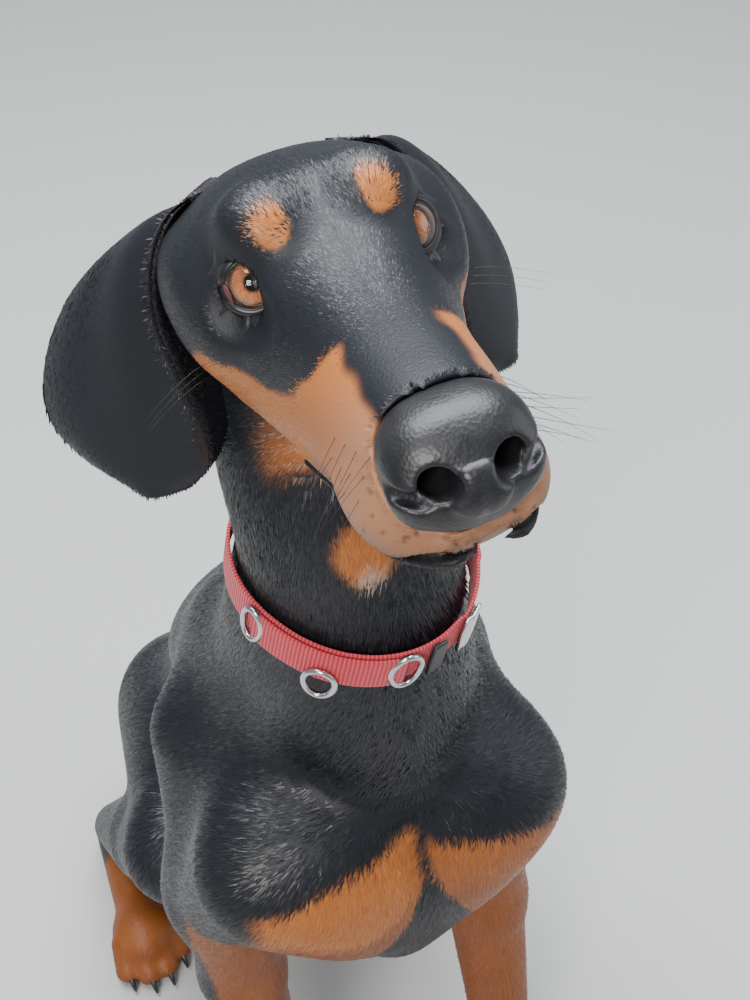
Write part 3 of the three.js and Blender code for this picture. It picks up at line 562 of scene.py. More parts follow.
body_p, body_q = nets(dog_field, [-170, -75, -7], [172, 562, 660], 3.5, -COAT_DEPTH)
body_p[:, 2] = np.maximum(body_p[:, 2], 0)
body_p, body_q = trim(body_p, body_q, above_collar(body_p) < 2.5)
head_p, head_q = nets(fine_field, [-118, -102, 600], [80, 180, 900], 1.75, -COAT_DEPTH)
head_p, head_q = trim(head_p, head_q, above_collar(head_p) > -2.5)
print("skin", len(body_q), "and", len(head_q), "quads")

# %% [markdown]
# ## Markings
# Black and rust: a spot over each eye, the sides of the muzzle and the cheeks' lower edge, the throat, two
# patches on the forechest with black between them, and the lower legs. On a real coat the border between
# them is a band of mixed hairs, so one function gives the share of rust at a place, and both the skin and
# each tuft ask it; the tufts ask a little way off their roots, which makes the border hairy.

# %%
LATTICE = rng.random((32, 32, 32))


def noise(p, size):
    """Smooth noise from -1 to 1 with features of that size in millimetres."""
    q = np.asarray(p, float) / size
    i = np.floor(q).astype(int)
    f = q - i
    f = f * f * (3 - 2 * f)
    out = np.zeros(len(q))
    for c in range(8):
        o = np.array([c & 1, (c >> 1) & 1, (c >> 2) & 1])
        w = np.prod(np.where(o == 1, f, 1 - f), axis=1)
        k = (i + o) % 32
        out += w * LATTICE[k[:, 0], k[:, 1], k[:, 2]]
    return out * 2 - 1


def step_up(x, low, high):
    """0 below low, 1 above high and smooth between."""
    t = np.clip((np.asarray(x, float) - low) / (high - low), 0, 1)
    return t * t * (3 - 2 * t)


BORDER = np.array([[-60, -70], [-40, -44], [-6, -20], [13, -27], [28, -29], [48, -25], [60, -14], [71, -1],
                   [86, -4], [101, -8], [116, -14], [140, -20]], float)
RUST = np.array([0.47, 0.155, 0.034])
# Deep rust is the coat's darker rust at random, and also painted shade low on the body.
DEEP_AND_SHADED_RUST = np.array([0.235, 0.066, 0.013])
FAWN = np.array([0.32, 0.165, 0.098])
# Black of the coat; its cold cast is painted reflection of cool light.
BLACK_WITH_PAINTED_COLD_CAST = np.array([0.0072, 0.0082, 0.0115])
LEATHER = np.array([0.011, 0.011, 0.013])


def head_rust(p):
    """Rust on the head: a spot over each eye, below a border line on the muzzle and cheek, the throat."""
    v = one_side(head_local(p))
    x, y, z = v.T
    from_spot = np.sqrt(((x - 20.5) / 8) ** 2 + ((y - 20.5) / 6.8) ** 2 + ((z - 28) / 8) ** 2)
    spot = 1 - step_up(from_spot, 0.8, 1.12)
    side = step_up(np.interp(x, BORDER[:, 0], BORDER[:, 1]) - z, -2.0, 2.2) * step_up(x, -46, -30)
    side *= 1 - step_up(-z, 92, 108)
    throat = 1 - step_up(mass(p, [-24, 22, 700], [15, 30, 18]), -5, 4)
    return np.maximum(np.maximum(spot, side), throat)


def breast_rust(p):
    """Rust on the forechest: a patch each side, between an upper and a slanting lower border."""
    breast = np.zeros(len(p))
    for s in LEGS:
        u = p[:, 0] * s
        top = 474 - 0.10 * u - 12 * step_up(u, 50, 95) if s < 0 else 466 - 0.30 * u
        low = 446 - 2.3 * np.maximum(u, 0)
        patch = step_up(top - p[:, 2], -3, 4) * step_up(p[:, 2] - low, -3, 5) * step_up(u, 0, 7)
        patch *= 1 - step_up(u, 96, 108)
        patch *= 1 - step_up(p[:, 1], 36, 60)
        breast = np.maximum(breast, patch)
    return breast


def leg_rust(p):
    """Rust on the legs: the inner forearm, all of the feet and the inner shank."""
    legs = np.zeros(len(p))
    for s, leg in LEGS.items():
        el, ca = np.array(leg["elbow"], float), np.array(leg["carpus"], float)
        t = np.clip((el[2] - p[:, 2]) / (el[2] - ca[2]), 0, 1)
        cx, cy = el[0] + (ca[0] - el[0]) * t, el[1] + (ca[1] - el[1]) * t
        out = (p[:, 0] - cx) * s
        back = p[:, 1] - cy
        fore = step_up(-out * 0.9 - back + 8, -3, 5)
        fore = np.maximum(fore, 1 - step_up(p[:, 2], 150, 190))
        fore *= (1 - step_up(p[:, 2], 352, 372)) * (1 - step_up(p[:, 1], 118, 135))
        fore *= (p[:, 0] * s > 40)
        knee = leg["knee"][0] * s
        hind = (1 - step_up(p[:, 2], 66, 72)) * step_up(345 - p[:, 1], -8, 8)
        inner = step_up(knee - 18 - p[:, 0] * s, -3, 5) * (1 - step_up(p[:, 2], 150, 190))
        hind = np.maximum(hind, inner * step_up(330 - p[:, 1], -8, 10))
        hind *= step_up(p[:, 1], 150, 165) * (p[:, 0] * s > 8)
        legs = np.maximum(legs, np.maximum(fore, hind))
    return legs


def rust_share(p):
    """How far a place on the coat, in millimetres, is rust: 0 black, 1 rust."""
    p = p + np.stack([noise(p + k, 9.0) for k in (0, 40, 90)], 1) * 1.6
    vent = 1 - step_up(mass(p, [26, 446, 92], [30, 20, 34]), -5, 5)
    front = np.maximum(head_rust(p), breast_rust(p))
    return np.clip(np.maximum(front, np.maximum(leg_rust(p), vent)), 0, 1)


# %% [markdown]
# ### Colour of the coat
# Rust runs from clear tan to a deeper red at random; off the head, on the legs and the lower edges of the
# breast patches, it is painted deeper towards the bottom as painted shade. It turns fawn towards the nose,
# where dark dots mark the whisker roots. Black is nearly neutral, with a cold cast that is painted
# reflection of cool light, and uneven, as hair is. The edge of the flews is darker.

# %%
WHITE_HAIR = np.array([0.55, 0.5, 0.46])


def coat_tone(p):
    """Colour of the coat at places in millimetres, in linear light."""
    v = head_local(p)
    share = rust_share(p)[:, None]
    x, z = v[:, 0], v[:, 2]
    shade = 0.5 + 0.5 * noise(p, 23.0)
    deep = np.clip(0.25 + 0.5 * shade, 0, 1)
    muzzle = step_up(x, 66, 108) * step_up(-z, -6, 20)
    # Off the head, rust below 448 mm is painted deeper towards the bottom, fully at 378 mm: painted shade.
    deep = np.where(x > -60, deep * 0.4, np.clip(deep + 0.55 * step_up(448 - p[:, 2], 0, 70), 0, 1))
    rust = RUST * (1 - deep[:, None]) + DEEP_AND_SHADED_RUST * deep[:, None]
    rust = rust * (1 - muzzle[:, None] * 0.75) + FAWN * muzzle[:, None] * 0.75
    dots = step_up(noise(p, 1.5) + noise(p + 50, 5.0) * 0.5, 0.50, 0.85)
    dots = dots * step_up(x, 70, 100) * step_up(-z, 20, 36)
    rust = rust * (1 - 0.62 * dots[:, None])
    hem = step_up(x, 20, 60) * step_up(-z, 44, 62)
    rust = rust * (1 - 0.45 * hem[:, None])
    black = BLACK_WITH_PAINTED_COLD_CAST * (1 + 0.35 * shade[:, None])
    pale = 1 - step_up(mass(p, [-22, 18, 685], [7, 16, 6]), -2, 3)
    tone = black * (1 - share) + rust * share
    return tone * (1 - 0.35 * pale[:, None]) + WHITE_HAIR * 0.35 * pale[:, None]


def lip_share(p):
    """How far a place is bare dark lip: along the mouth line and on the lower lip."""
    v = one_side(head_local(p))
    out = np.zeros(len(p))
    near = np.flatnonzero((v[:, 0] > 24) & (v[:, 2] < -38) & (v[:, 2] > -84))
    w = v[near]
    out[near] = np.maximum(1 - step_up(from_lip(w, -2), 2.2, 3.6), 1 - step_up(from_lip(w, -7), 4.8, 7))
    return out


# %% [markdown]
# ## Finishes
# The coat is short and glossy, so the skin under it has the same colour and a fine grain of hair as bump.
# Nose leather is pebbled with a little wet gloss; lips and lids are bare dark skin.

# %%
def finish(name, colour=None, rough=0.5, metal=0.0, **sockets):
    """A Principled material; without a colour it takes the points' own tone."""
    m = bpy.data.materials.new(name)
    m.use_nodes = True
    shader = m.node_tree.nodes["Principled BSDF"]
    if colour is None:
        tone = m.node_tree.nodes.new("ShaderNodeAttribute")
        tone.attribute_name = "tone"
        m.node_tree.links.new(tone.outputs["Color"], shader.inputs["Base Color"])
    else:
        shader.inputs["Base Color"].default_value = (*colour, 1)
    shader.inputs["Roughness"].default_value = rough
    shader.inputs["Metallic"].default_value = metal
    for key, value in sockets.items():
        shader.inputs[key.replace("_", " ")].default_value = value
    return m


def grain(m, scale, strength, distance, kind="ShaderNodeTexNoise", stretch=(1, 1, 1)):
    """Adds bump from a noise or cell pattern on the object's own coordinates."""
    t = m.node_tree
    where = t.nodes.new("ShaderNodeTexCoord")
    place = t.nodes.new("ShaderNodeMapping")
    place.inputs["Scale"].default_value = stretch
    pattern = t.nodes.new(kind)
    pattern.inputs["Scale"].default_value = scale
    bump = t.nodes.new("ShaderNodeBump")
    bump.inputs["Strength"].default_value = strength
    bump.inputs["Distance"].default_value = distance
    t.links.new(where.outputs["Object"], place.inputs["Vector"])
    t.links.new(place.outputs["Vector"], pattern.inputs["Vector"])
    t.links.new(pattern.outputs[0], bump.inputs["Height"])
    t.links.new(bump.outputs["Normal"], t.nodes["Principled BSDF"].inputs["Normal"])


SKIN = finish("skin", rough=0.5, Specular_IOR_Level=0.35)
grain(SKIN, 900, 0.5, 0.0004)
HAIR = finish("hair", rough=0.38, Specular_IOR_Level=0.46)
BARE = finish("bare", rough=0.32, Specular_IOR_Level=0.5)
NOSE_SKIN = finish("nose_skin", rough=0.42, Specular_IOR_Level=0.5, Coat_Weight=0.12, Coat_Roughness=0.25)
grain(NOSE_SKIN, 700, 0.4, 0.0003, "ShaderNodeTexVoronoi")
CLAW = finish("claw", (0.02, 0.018, 0.017), 0.35)


# %% [markdown]
# ## Skin
# One skin in two meshes, which meet under the collar. It stands for all the nodes of flesh.

# %%
def wear(o, material, slot, *nodes):
    """Gives a piece its finish and its body, and hides the nodes that it stands for; slot is not used."""
    o.data.materials.append(material)
    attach(o, "root")
    if nodes:
        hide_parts(*nodes)
    return o


def tones(p):
    """Coat colour with the bare dark lips laid over it."""
    lip = lip_share(p)[:, None]
    return coat_tone(p) * (1 - lip) + LEATHER * lip


BODY_NODES = ["chest", "loin", "rump", "tail", "neck"]
for side in ("left", "right"):
    BODY_NODES += [f"{part}_{side}" for part in ("upper_arm", "foreleg", "paw", "hind_leg", "hind_foot")]
wear(mesh("skin_body", metres(body_p), body_q, coat_tone(body_p)), SKIN, "coat", *BODY_NODES)
wear(mesh("skin_head", metres(head_p), head_q, tones(head_p)), SKIN, "coat", "head")
print("skin made")


# %% [markdown]
# ## Ears
# Natural drop ears: thin flaps that fold forward at the root and hang beside the cheeks, with a rounded
# tip. Each is a surface between a front and a rear edge, bowed forward between them, with a second one
# just behind it, closed along the rim.

# %%
EAR = np.array([[-50, 24, 24, -80, 22, 8], [-55, 46, 17, -96, 48, 3], [-55, 60, 0, -113, 74, -11],
                [-53, 67, -24, -122, 98, -30], [-49, 66, -48, -120, 117, -54], [-45, 64, -72, -111, 124, -76],
                [-45, 66, -92, -94, 116, -93], [-53, 76, -104, -76, 99, -105]], float)
EAR_FLARE = {1: 0.8, -1: 1.0}
EAR_BOW = 9.0
EAR_INSIDE = np.array([0.05, 0.03, 0.028])
EAR_FOLD = 0.3
EAR_ROWS, EAR_COLUMNS = 64, 44


def ear_points(side):
    """Rings of points round the flap, from the root to the tip, in millimetres from the breastbone."""
    k = np.linspace(0, 1, len(EAR))
    t = np.linspace(0, 1, EAR_ROWS)
    e = np.stack([curve(k, EAR[:, c], t) for c in range(6)], 1)
    e[:, [1, 4]] = 44 + (e[:, [1, 4]] - 44) * EAR_FLARE[side]
    e[:, [1, 4]] *= side
    front, rear = head_world(e[:, :3]), head_world(e[:, 3:])
    width = rear - front
    out = unit(np.cross(width, -HU))
    out *= np.sign(out @ HF)[:, None]
    a = np.linspace(0, 2 * np.pi, 2 * EAR_COLUMNS, endpoint=False)
    s = (0.5 - 0.5 * np.cos(a)) * (1 + EAR_FOLD) - EAR_FOLD
    tuck = np.maximum(-s, 0) / EAR_FOLD
    s = np.maximum(s, 0)
    deep = np.interp(t, [0, 0.12, 0.7, 0.9, 1], [0.2, 1, 1, 0.3, 0])
    fold_in = (np.array([-15.0, -17.0 * side, 2.0]) @ FROM_HEAD)[None, None]
    thick = np.interp(t, [0, 0.15, 0.3, 1], [3.2, 2.2, 1.5, 1.1])[:, None]
    ripple = 1.2 * np.sin(3 * np.pi * s)[None] * np.sin(np.pi * t)[:, None]
    fold = EAR_BOW * np.sin(np.pi * s)[None] + ripple
    lift = fold + thick * np.sin(a)[None] - 0.6
    p = front[:, None] + width[:, None] * s[None, :, None] + out[:, None] * lift[..., None]
    return p + fold_in * (tuck[None] * deep[:, None])[..., None], a


def closed_rings(p, ends=True):
    """Quads and end fans over rings of points; the mesh is closed at both ends by a middle point."""
    rows, sides = p.shape[:2]
    i, j = np.meshgrid(np.arange(rows - 1), np.arange(sides), indexing="ij")
    k = (j + 1) % sides
    above = i + 1
    quads = np.stack([i * sides + j, i * sides + k, above * sides + k, above * sides + j], -1)
    quads = quads.reshape(-1, 4)
    tri = np.concatenate([quads[:, [0, 1, 2]], quads[:, [0, 2, 3]]])
    points = p.reshape(-1, 3)
    if ends:
        j = np.arange(sides)
        k = (j + 1) % sides
        points = np.vstack([points, p[0].mean(0), p[-1].mean(0)])
        a, b = rows * sides, rows * sides + 1
        first = np.stack([np.full(sides, a), k, j], 1)
        last = np.stack([np.full(sides, b), (rows - 1) * sides + j, (rows - 1) * sides + k], 1)
        tri = np.concatenate([tri, first, last])
    v = points[tri]
    if (v[:, 0] * np.cross(v[:, 1], v[:, 2])).sum() < 0:
        tri = tri[:, ::-1]
    return points, tri


def mesh_normals(points, faces):
    """Normals of the points, from the faces round them."""
    n = np.zeros_like(points)
    a, b, c = points[faces[:, 0]], points[faces[:, 1]], points[faces[:, 2]]
    f = np.cross(b - a, c - a)
    for k in range(faces.shape[1]):
        for d in range(3):
            n[:, d] += np.bincount(faces[:, k], f[:, d], len(points))
    return unit(n)


ears = {}
for side, label in ((1, "left"), (-1, "right")):
    rings, a = ear_points(side)
    p, tri = closed_rings(rings)
    inner = np.concatenate([np.tile(np.sin(a) < -0.15, EAR_ROWS), [False, False]])
    tone = coat_tone(p)
    tone[inner] = tone[inner] * 0.6 + EAR_INSIDE * 0.4
    ears[side] = (p, tri)
    wear(mesh(f"ear_skin_{label}", metres(p), tri, tone), SKIN, "coat", f"ear_{label}")
print("ears made")


# %% [markdown]
# ## Eyes
# A dog's eye is a ball about 22 mm across. The amber iris lies behind a clear cornea that stands a little
# proud of the ball, with a round pupil in it. Both eyes look at the camera. Black lids close round them on
# an almond opening, with a dark third lid in the inner corner and a wet line along the lower rim.

# %%
CAMERA = np.array([-216.2, -361.2, 1161.3])
IRIS = 8.5
PUPIL = 3.1
AMBER = np.array([0.46, 0.135, 0.018])
SCLERA = np.array([0.13, 0.085, 0.07])
TURN = np.linspace(0, 2 * np.pi, 72, endpoint=False)
CORNEA = finish("cornea", (1, 1, 1), 0.0, Transmission_Weight=1.0, IOR=1.37)
EYE_FINISH = finish("eye_inside", rough=0.35, Specular_IOR_Level=0.4)


def eye_frame(side, way):
    """Centre of an eye, and the directions across, up and along the given way, in millimetres."""
    across = unit(np.cross(HU, way))
    return head_world(EYE * [1, side, 1]), across, np.cross(way, across), way


def turned(profile, frame):
    """A surface of revolution about an eye's axis from rows of (radius, height)."""
    centre, across, up, way = frame
    r, h = np.asarray(profile, float).T
    ring = np.cos(TURN)[:, None] * across + np.sin(TURN)[:, None] * up
    return centre + r[:, None, None] * ring[None] + h[:, None, None] * way


def iris_tone(p, look):
    """Colour of the ball: pupil, streaked amber iris with dark edges, and a white that darkens to it."""
    d = p - look[0]
    r = np.linalg.norm(d - (d @ look[3])[:, None] * look[3], axis=1)
    a = np.arctan2(d @ look[2], d @ look[1])
    front = d @ look[3] > 0
    streak = np.sin(a * 38 + 3 * np.sin(a * 7 + r)) * np.sin(r * 2.2 + 2 * np.sin(a * 11))
    fibre = 0.5 + 0.5 * streak
    ring = step_up(r, PUPIL, PUPIL + 1.5) * (1 - step_up(r, IRIS - 1.7, IRIS - 0.1))
    amber = AMBER[None] * (0.55 + 0.75 * fibre[:, None]) * (0.35 + 0.85 * ring[:, None])
    tone = np.where((r < PUPIL)[:, None], 0.002, amber)
    white = SCLERA * (1 - 0.75 * (1 - step_up(r, IRIS + 0.2, IRIS + 2.2)))[:, None]
    return np.where(((r > IRIS + 0.15) | ~front)[:, None], white, tone)


def make_ball(label, look):
    """The ball with a shallow iris disc set into its front and a pupil that is a real hole."""
    rim_at = math.asin((IRIS + 0.3) / EYEBALL)
    white = [(EYEBALL * math.sin(a), EYEBALL * math.cos(a)) for a in np.linspace(rim_at, math.pi - 0.02, 40)]
    base = EYEBALL * math.cos(rim_at)
    disc = [(r, base - 0.9 - 0.25 * (IRIS - r) / IRIS) for r in np.linspace(PUPIL, IRIS, 12)]
    hole = [(0.05, base - 2.2), (PUPIL * 0.97, base - 2.1)]
    p, tri = closed_rings(turned(hole + disc + white, look))
    wear(mesh(f"eyeball_{label}", metres(p), tri, iris_tone(p, look)), EYE_FINISH, "eye", f"eye_{label}")


# %% [markdown]
# ### Cornea
# The cornea is a steeper dome than the ball, so it catches the light by itself. It is a thin shell with an
# inner and an outer face, which bends light as the real one does.

# %%
DOME = 9.9
DOME_THICK = 0.35


def make_cornea(label, look):
    """Dome height at radius r: sqrt(DOME^2 - r^2), moved down until its edge meets the ball."""
    reach = IRIS + 0.55
    sink = math.sqrt(DOME ** 2 - reach ** 2)
    level = math.sqrt(EYEBALL ** 2 - reach ** 2) + 0.02
    r = np.linspace(0.03, reach, 16)
    outer = [(v, level + math.sqrt(DOME ** 2 - v * v) - sink) for v in r]
    inside = [(v, level - DOME_THICK + math.sqrt(DOME ** 2 - v * v) - sink) for v in r[::-1]]
    p, tri = closed_rings(turned(outer + inside, look))
    wear(mesh(f"cornea_{label}", metres(p), tri), CORNEA, "eye")


# %% [markdown]
# ### Lids
# The lids are one ring of skin round an almond opening. It starts on the ball, rolls outwards as the wet
# rim and runs into the skin of the socket, which is found by halving. The inner corner is drawn out and
# lies lower; there the third lid shows as a small dark red cap on the ball.

# %%
LID_ROWS = [(0.93, 11.15), (0.985, 11.5), (1.0, 12.0), (1.035, 12.7), (1.10, 13.2), (1.20, 13.4)]
LID_OUTER = ((1.36, 0.55, 0.0), (1.55, 1.0, 0.0), (1.8, 1.0, 1.2))
LID_RED = [0.075, 0.018, 0.016]


def skin_reach(centre, d):
    """How far the skin is from an eye's centre along directions d, by halving."""
    low, high = np.full(len(d), 8.0), np.full(len(d), 34.0)
    for _ in range(14):
        mid = (low + high) / 2
        inside = dog_field(centre + mid[:, None] * d, False) < -COAT_DEPTH
        low, high = np.where(inside, mid, low), np.where(inside, high, mid)
    return low


def almond(inward, up):
    """Opening of the lids round the ball: the angle off the sight line, and the way, at each turn."""
    corner = np.exp(-(np.minimum(TURN, 2 * np.pi - TURN) / 0.42) ** 2)
    half_high = np.where(np.sin(TURN) > 0, 9.2, 8.2)
    wide = (10.6 + 2.4 * corner) * np.cos(TURN)
    high = half_high * np.sin(TURN) * (1 - 0.10 * np.cos(2 * TURN)) - 2.2 * corner
    spread = np.hypot(wide, high)
    angle = np.arcsin(np.clip(spread / 12.0, 0, 0.99))
    return angle, (wide[:, None] * inward + high[:, None] * up) / spread[:, None]


def make_lids(side, label):
    """Rows of the lids at growing angles, each at its own distance from the eye's centre."""
    centre, across, up, way = eye_frame(side, unit(SIGHT * [1, side, 1] @ FROM_HEAD))
    inward = unit(-across * side if (across @ HL) * side > 0 else across * side)
    angle, flat = almond(inward, up)
    lid = []
    for grow, radius in LID_ROWS:
        d = np.cos(angle * grow)[:, None] * way + np.sin(angle * grow)[:, None] * flat
        lid.append(centre + radius * d)
    for grow, share, sink in LID_OUTER:
        d = np.cos(angle * grow)[:, None] * way + np.sin(angle * grow)[:, None] * flat
        surface = np.clip(skin_reach(centre, d), 9.5, 19.0)
        radius = 13.2 * (1 - share) + surface * share - sink + 0.15 * (share < 1)
        lid.append(centre + radius[:, None] * d)
    rows = len(lid)
    fine, k = np.linspace(0, 1, 4 * rows - 3), np.linspace(0, 1, rows)
    lid = np.array(lid).reshape(rows, -1)
    lid = np.stack([curve(k, lid[:, j], fine) for j in range(lid.shape[1])], 1).reshape(len(fine), -1, 3)
    p, tri = closed_rings(lid, ends=False)
    depth = np.repeat(fine, len(TURN))
    tone = LEATHER * np.ones((len(p), 1)) * (1 + 0.6 * step_up(depth, 0.5, 0.9))[:, None]
    if (mesh_normals(p, tri) * (p - centre)).sum() < 0:
        tri = tri[:, ::-1]
    wear(mesh(f"lid_{label}", metres(p), tri, tone), BARE, "coat")
    d0 = unit(way * 0.42 + inward * 0.86 - up * 0.22)
    beside = unit(np.cross(up, d0))
    cap = [(11.75 * math.sin(q), 11.75 * math.cos(q)) for q in np.linspace(0.01, 0.44, 8)]
    cap += [(11.0 * math.sin(q), 11.0 * math.cos(q)) for q in np.linspace(0.44, 0.01, 8)]
    p, tri = closed_rings(turned(cap, (centre, beside, unit(np.cross(d0, beside)), d0)))
    red = np.tile(LID_RED, (len(p), 1))
    wear(mesh(f"third_lid_{label}", metres(p), tri, red), BARE, "eye")


for side, label in ((1, "left"), (-1, "right")):
    look = eye_frame(side, unit(CAMERA - head_world(EYE * [1, side, 1])))
    make_ball(label, look)
    make_cornea(label, look)
    make_lids(side, label)
print("eyes made")


# %% [markdown]
# ## Nose leather
# A broad black pad over the end of the muzzle with two comma nostrils, each running back into a slit at the
# side, and a furrow down its middle to the lip.

# %%
nose_p, nose_q = nets(nose_field, [98, -34, -54], [147, 34, 10], 0.85, 0.0)
nose_tone = LEATHER * (1 + 0.5 * noise(nose_p, 4.0))[:, None]
wear(mesh("nose_leather", metres(head_world(nose_p)), nose_q, nose_tone), NOSE_SKIN, "nose_leather", "nose")
print("nose", len(nose_q), "quads")


# %% [markdown]
# ## Claws and whiskers
# Short black claws on every toe, and stiff dark whiskers on the muzzle, over the eyes and on the cheeks.

# %%
def pipes(paths, radii, sides=6):
    """Closed tubes along many paths at once: paths is (tubes, steps, 3) and radii is (steps,)."""
    n, steps = paths.shape[:2]
    way = unit(np.gradient(paths, axis=1))
    first = unit(np.cross(way, np.array([0.31, 0.52, 0.8])))
    second = np.cross(way, first)
    a = np.linspace(0, 2 * np.pi, sides, endpoint=False)
    ring = np.cos(a)[:, None] * first[:, :, None] + np.sin(a)[:, None] * second[:, :, None]
    p = paths[:, :, None] + ring * np.asarray(radii, float)[None, :, None, None]
    one, tri = closed_rings(p[0])
    points = np.stack([closed_rings(q)[0] for q in p])
    faces = tri[None] + (np.arange(n) * len(one))[:, None, None]
    return points.reshape(-1, 3), faces.reshape(-1, 3)


def bend(a, b, c, steps):
    """Points on the curved way from a to c that leans towards b."""
    t = np.linspace(0, 1, steps)[:, None]
    return (1 - t) ** 2 * a + 2 * t * (1 - t) * b + t * t * c


claw_paths = []
for s, leg in LEGS.items():
    for name, reach in FEET:
        for toe in TOES:
            x, y = leg[name][0] + toe * 16, leg[name][1] - toe_reach(toe, reach)
            root, over, tip = np.array([[x, y + 3, 13], [x, y - 12, 14.0], [x, y - 18, 4.6]])
            claw_paths.append(bend(root, over, tip, 9))
p, tri = pipes(np.array(claw_paths), np.linspace(1, 0.12, 9) ** 0.6 * 4.0, 10)
wear(mesh("claws", metres(p), tri), CLAW, "coat")

hairs = []
for side in (1, -1):
    for row in range(3):
        for k in range(4):
            x, z = 112 - 9 * k - 3 * row, -20 - 8 * row - 1.5 * k
            root = np.array([x, cheek_at(np.array([x]), np.array([z]))[0] - 1.5, z])
            out = np.array([0.1 + 0.6 * rng.random(), 0.9, -0.1 - 0.7 * rng.random()])
            length = 17 + 15 * rng.random()
            tip = root + unit(out) * length + [-8 * rng.random(), 0, -7 * rng.random()]
            hairs.append([q * [1, side, 1] for q in (root, root + unit(out) * length * 0.5, tip)])
    for k in range(3):
        root = np.array([17 + 1.5 * k, 24 - 3.0 * k, 30.5])
        tip = root + [4 + 5 * rng.random(), 6 * rng.random() - 2, 11 + 4 * rng.random()]
        hairs.append([q * [1, side, 1] for q in (root, root + [1, 0, 6], tip)])
    for k in range(3):
        root = np.array([-8.0 - 6 * k, 57.0, -28.0 - 6 * k])
        tip = root + [10, 24 + 8 * rng.random(), -10]
        hairs.append([q * [1, side, 1] for q in (root, root + [2, 13, -2], tip)])
hair_paths = np.array([bend(*(head_world(q) for q in h), 9) for h in hairs])
p, tri = pipes(hair_paths, np.linspace(0.14, 0.04, 9), 5)
wear(mesh("whiskers", metres(p), tri), CLAW, "coat")
print(len(claw_paths), "claws,", len(hairs), "whiskers")


# %% [markdown]
# ## Collar
# A red martingale collar of ribbed webbing, 22 mm wide: a band right round the neck, and a loop of the same
# webbing from ring to ring over its front, with a D-ring, a black keeper and a metal slide. The webbing
# follows the neck, found by halving from the collar's middle outwards.

# %%
WIDTH = 22.0
THICK = 2.2
GAP = 1.2
OUTER = GAP + THICK + 0.9
NECK_RADIUS = 72
FRONT = -math.pi / 2


def neck_reach(a, lift):
    """Distance from the collar's middle to the neck at angles a and a height along the webbing."""
    way = np.cos(a)[:, None] * COLLAR_X + np.sin(a)[:, None] * COLLAR_Y
    low, high = np.full(len(a), 20.0), np.full(len(a), 160.0)
    for _ in range(22):
        mid = (low + high) / 2
        inside = body_field(COLLAR_AT + mid[:, None] * way + lift * COLLAR_UP) < 0
        low, high = np.where(inside, mid, low), np.where(inside, high, mid)
    return low


ANGLES = np.linspace(-math.pi, math.pi, 361)
REACH = np.max([neck_reach(ANGLES, lift) for lift in (-WIDTH / 2, 0, WIDTH / 2)], 0)
kernel = np.hanning(15) / np.hanning(15).sum()
REACH = np.maximum(REACH, np.convolve(np.concatenate([REACH[-8:-1], REACH, REACH[1:8]]), kernel, "valid"))


def collar_point(a, out, lift):
    """A place on the collar from its angle, its distance off the neck and its height on the webbing."""
    a, out, lift = np.broadcast_arrays(np.asarray(a, float), out, lift)
    r = np.interp((a + math.pi) % (2 * math.pi) - math.pi, ANGLES, REACH) + out
    way = np.cos(a)[..., None] * COLLAR_X + np.sin(a)[..., None] * COLLAR_Y
    return COLLAR_AT + r[..., None] * way + lift[..., None] * COLLAR_UP


def squared_off(v, k):
    """sign(v) |v|^k, which turns a circle's sine or cosine into that of a rounded box."""
    return np.sign(v) * np.abs(v) ** k


def strap(name, start, stop, out, thick, half, steps, material, slot, *nodes):
    """A strip of webbing or plate with rounded edges between two angles; a full turn joins up."""
    full = abs(stop - start) > 6.28
    a = np.linspace(start, stop, steps, endpoint=not full)
    q = np.linspace(0, 2 * np.pi, 28, endpoint=False)
    lift = half * squared_off(np.sin(q), 0.25)
    off = out + thick / 2 + thick / 2 * squared_off(np.cos(q), 0.45)
    p = collar_point(a[:, None], off[None], lift[None])
    if full:
        p = np.concatenate([p, p[:1]])
    points, tri = closed_rings(p, ends=not full)
    along = np.repeat(np.append(a, a[0] + 2 * math.pi) if full else a, len(q)) * NECK_RADIUS
    across = np.tile(lift / half, len(p))
    if not full:
        along, across = np.append(along, [0, 0]), np.append(across, [0, 0])
    o = mesh(name, metres(points), tri, None, True, along=along, across=across)
    return wear(o, material, slot, *nodes)


# %% [markdown]
# ### Ribs of the webbing
# Webbing is woven in ribs across its length. A sine of the distance along the strap gives both their
# height, as bump, and their colour, which is darker in the grooves as painted shade.

# %%
RIB_PITCH = 2.2
# Red in the grooves: the webbing's red with painted shade.
GROOVE_SHADE_RED = (0.50, 0.02, 0.035, 1)
RIB_RED = (0.86, 0.075, 0.105, 1)


def ribbed(m):
    """Ribs from sin(2 pi along / RIB_PITCH), where along is the strap's own length in millimetres."""
    tree = m.node_tree
    shader = tree.nodes["Principled BSDF"]
    lines = tree.nodes.new("ShaderNodeAttribute")
    lines.attribute_name = "along"
    scaled = tree.nodes.new("ShaderNodeMath")
    scaled.operation = "MULTIPLY"
    scaled.inputs[1].default_value = 2 * math.pi / RIB_PITCH
    wave = tree.nodes.new("ShaderNodeMath")
    wave.operation = "SINE"
    ribs = tree.nodes.new("ShaderNodeBump")
    ribs.inputs["Strength"].default_value = 0.7
    ribs.inputs["Distance"].default_value = 0.0005
    share = tree.nodes.new("ShaderNodeMapRange")
    share.inputs["From Min"].default_value = -1
    # Mixes from the grooves' painted shade to the ribs' red by the rib height.
    colour = tree.nodes.new("ShaderNodeMix")
    colour.data_type = "RGBA"
    colour.inputs["A"].default_value = GROOVE_SHADE_RED
    colour.inputs["B"].default_value = RIB_RED
    for a, b in ((lines.outputs["Fac"], scaled.inputs[0]), (scaled.outputs[0], wave.inputs[0]),
                 (wave.outputs[0], ribs.inputs["Height"]), (ribs.outputs["Normal"], shader.inputs["Normal"]),
                 (wave.outputs[0], share.inputs["Value"]),
                 (share.outputs["Result"], colour.inputs["Factor"]),
                 (colour.outputs["Result"], shader.inputs["Base Color"])):
        tree.links.new(a, b)


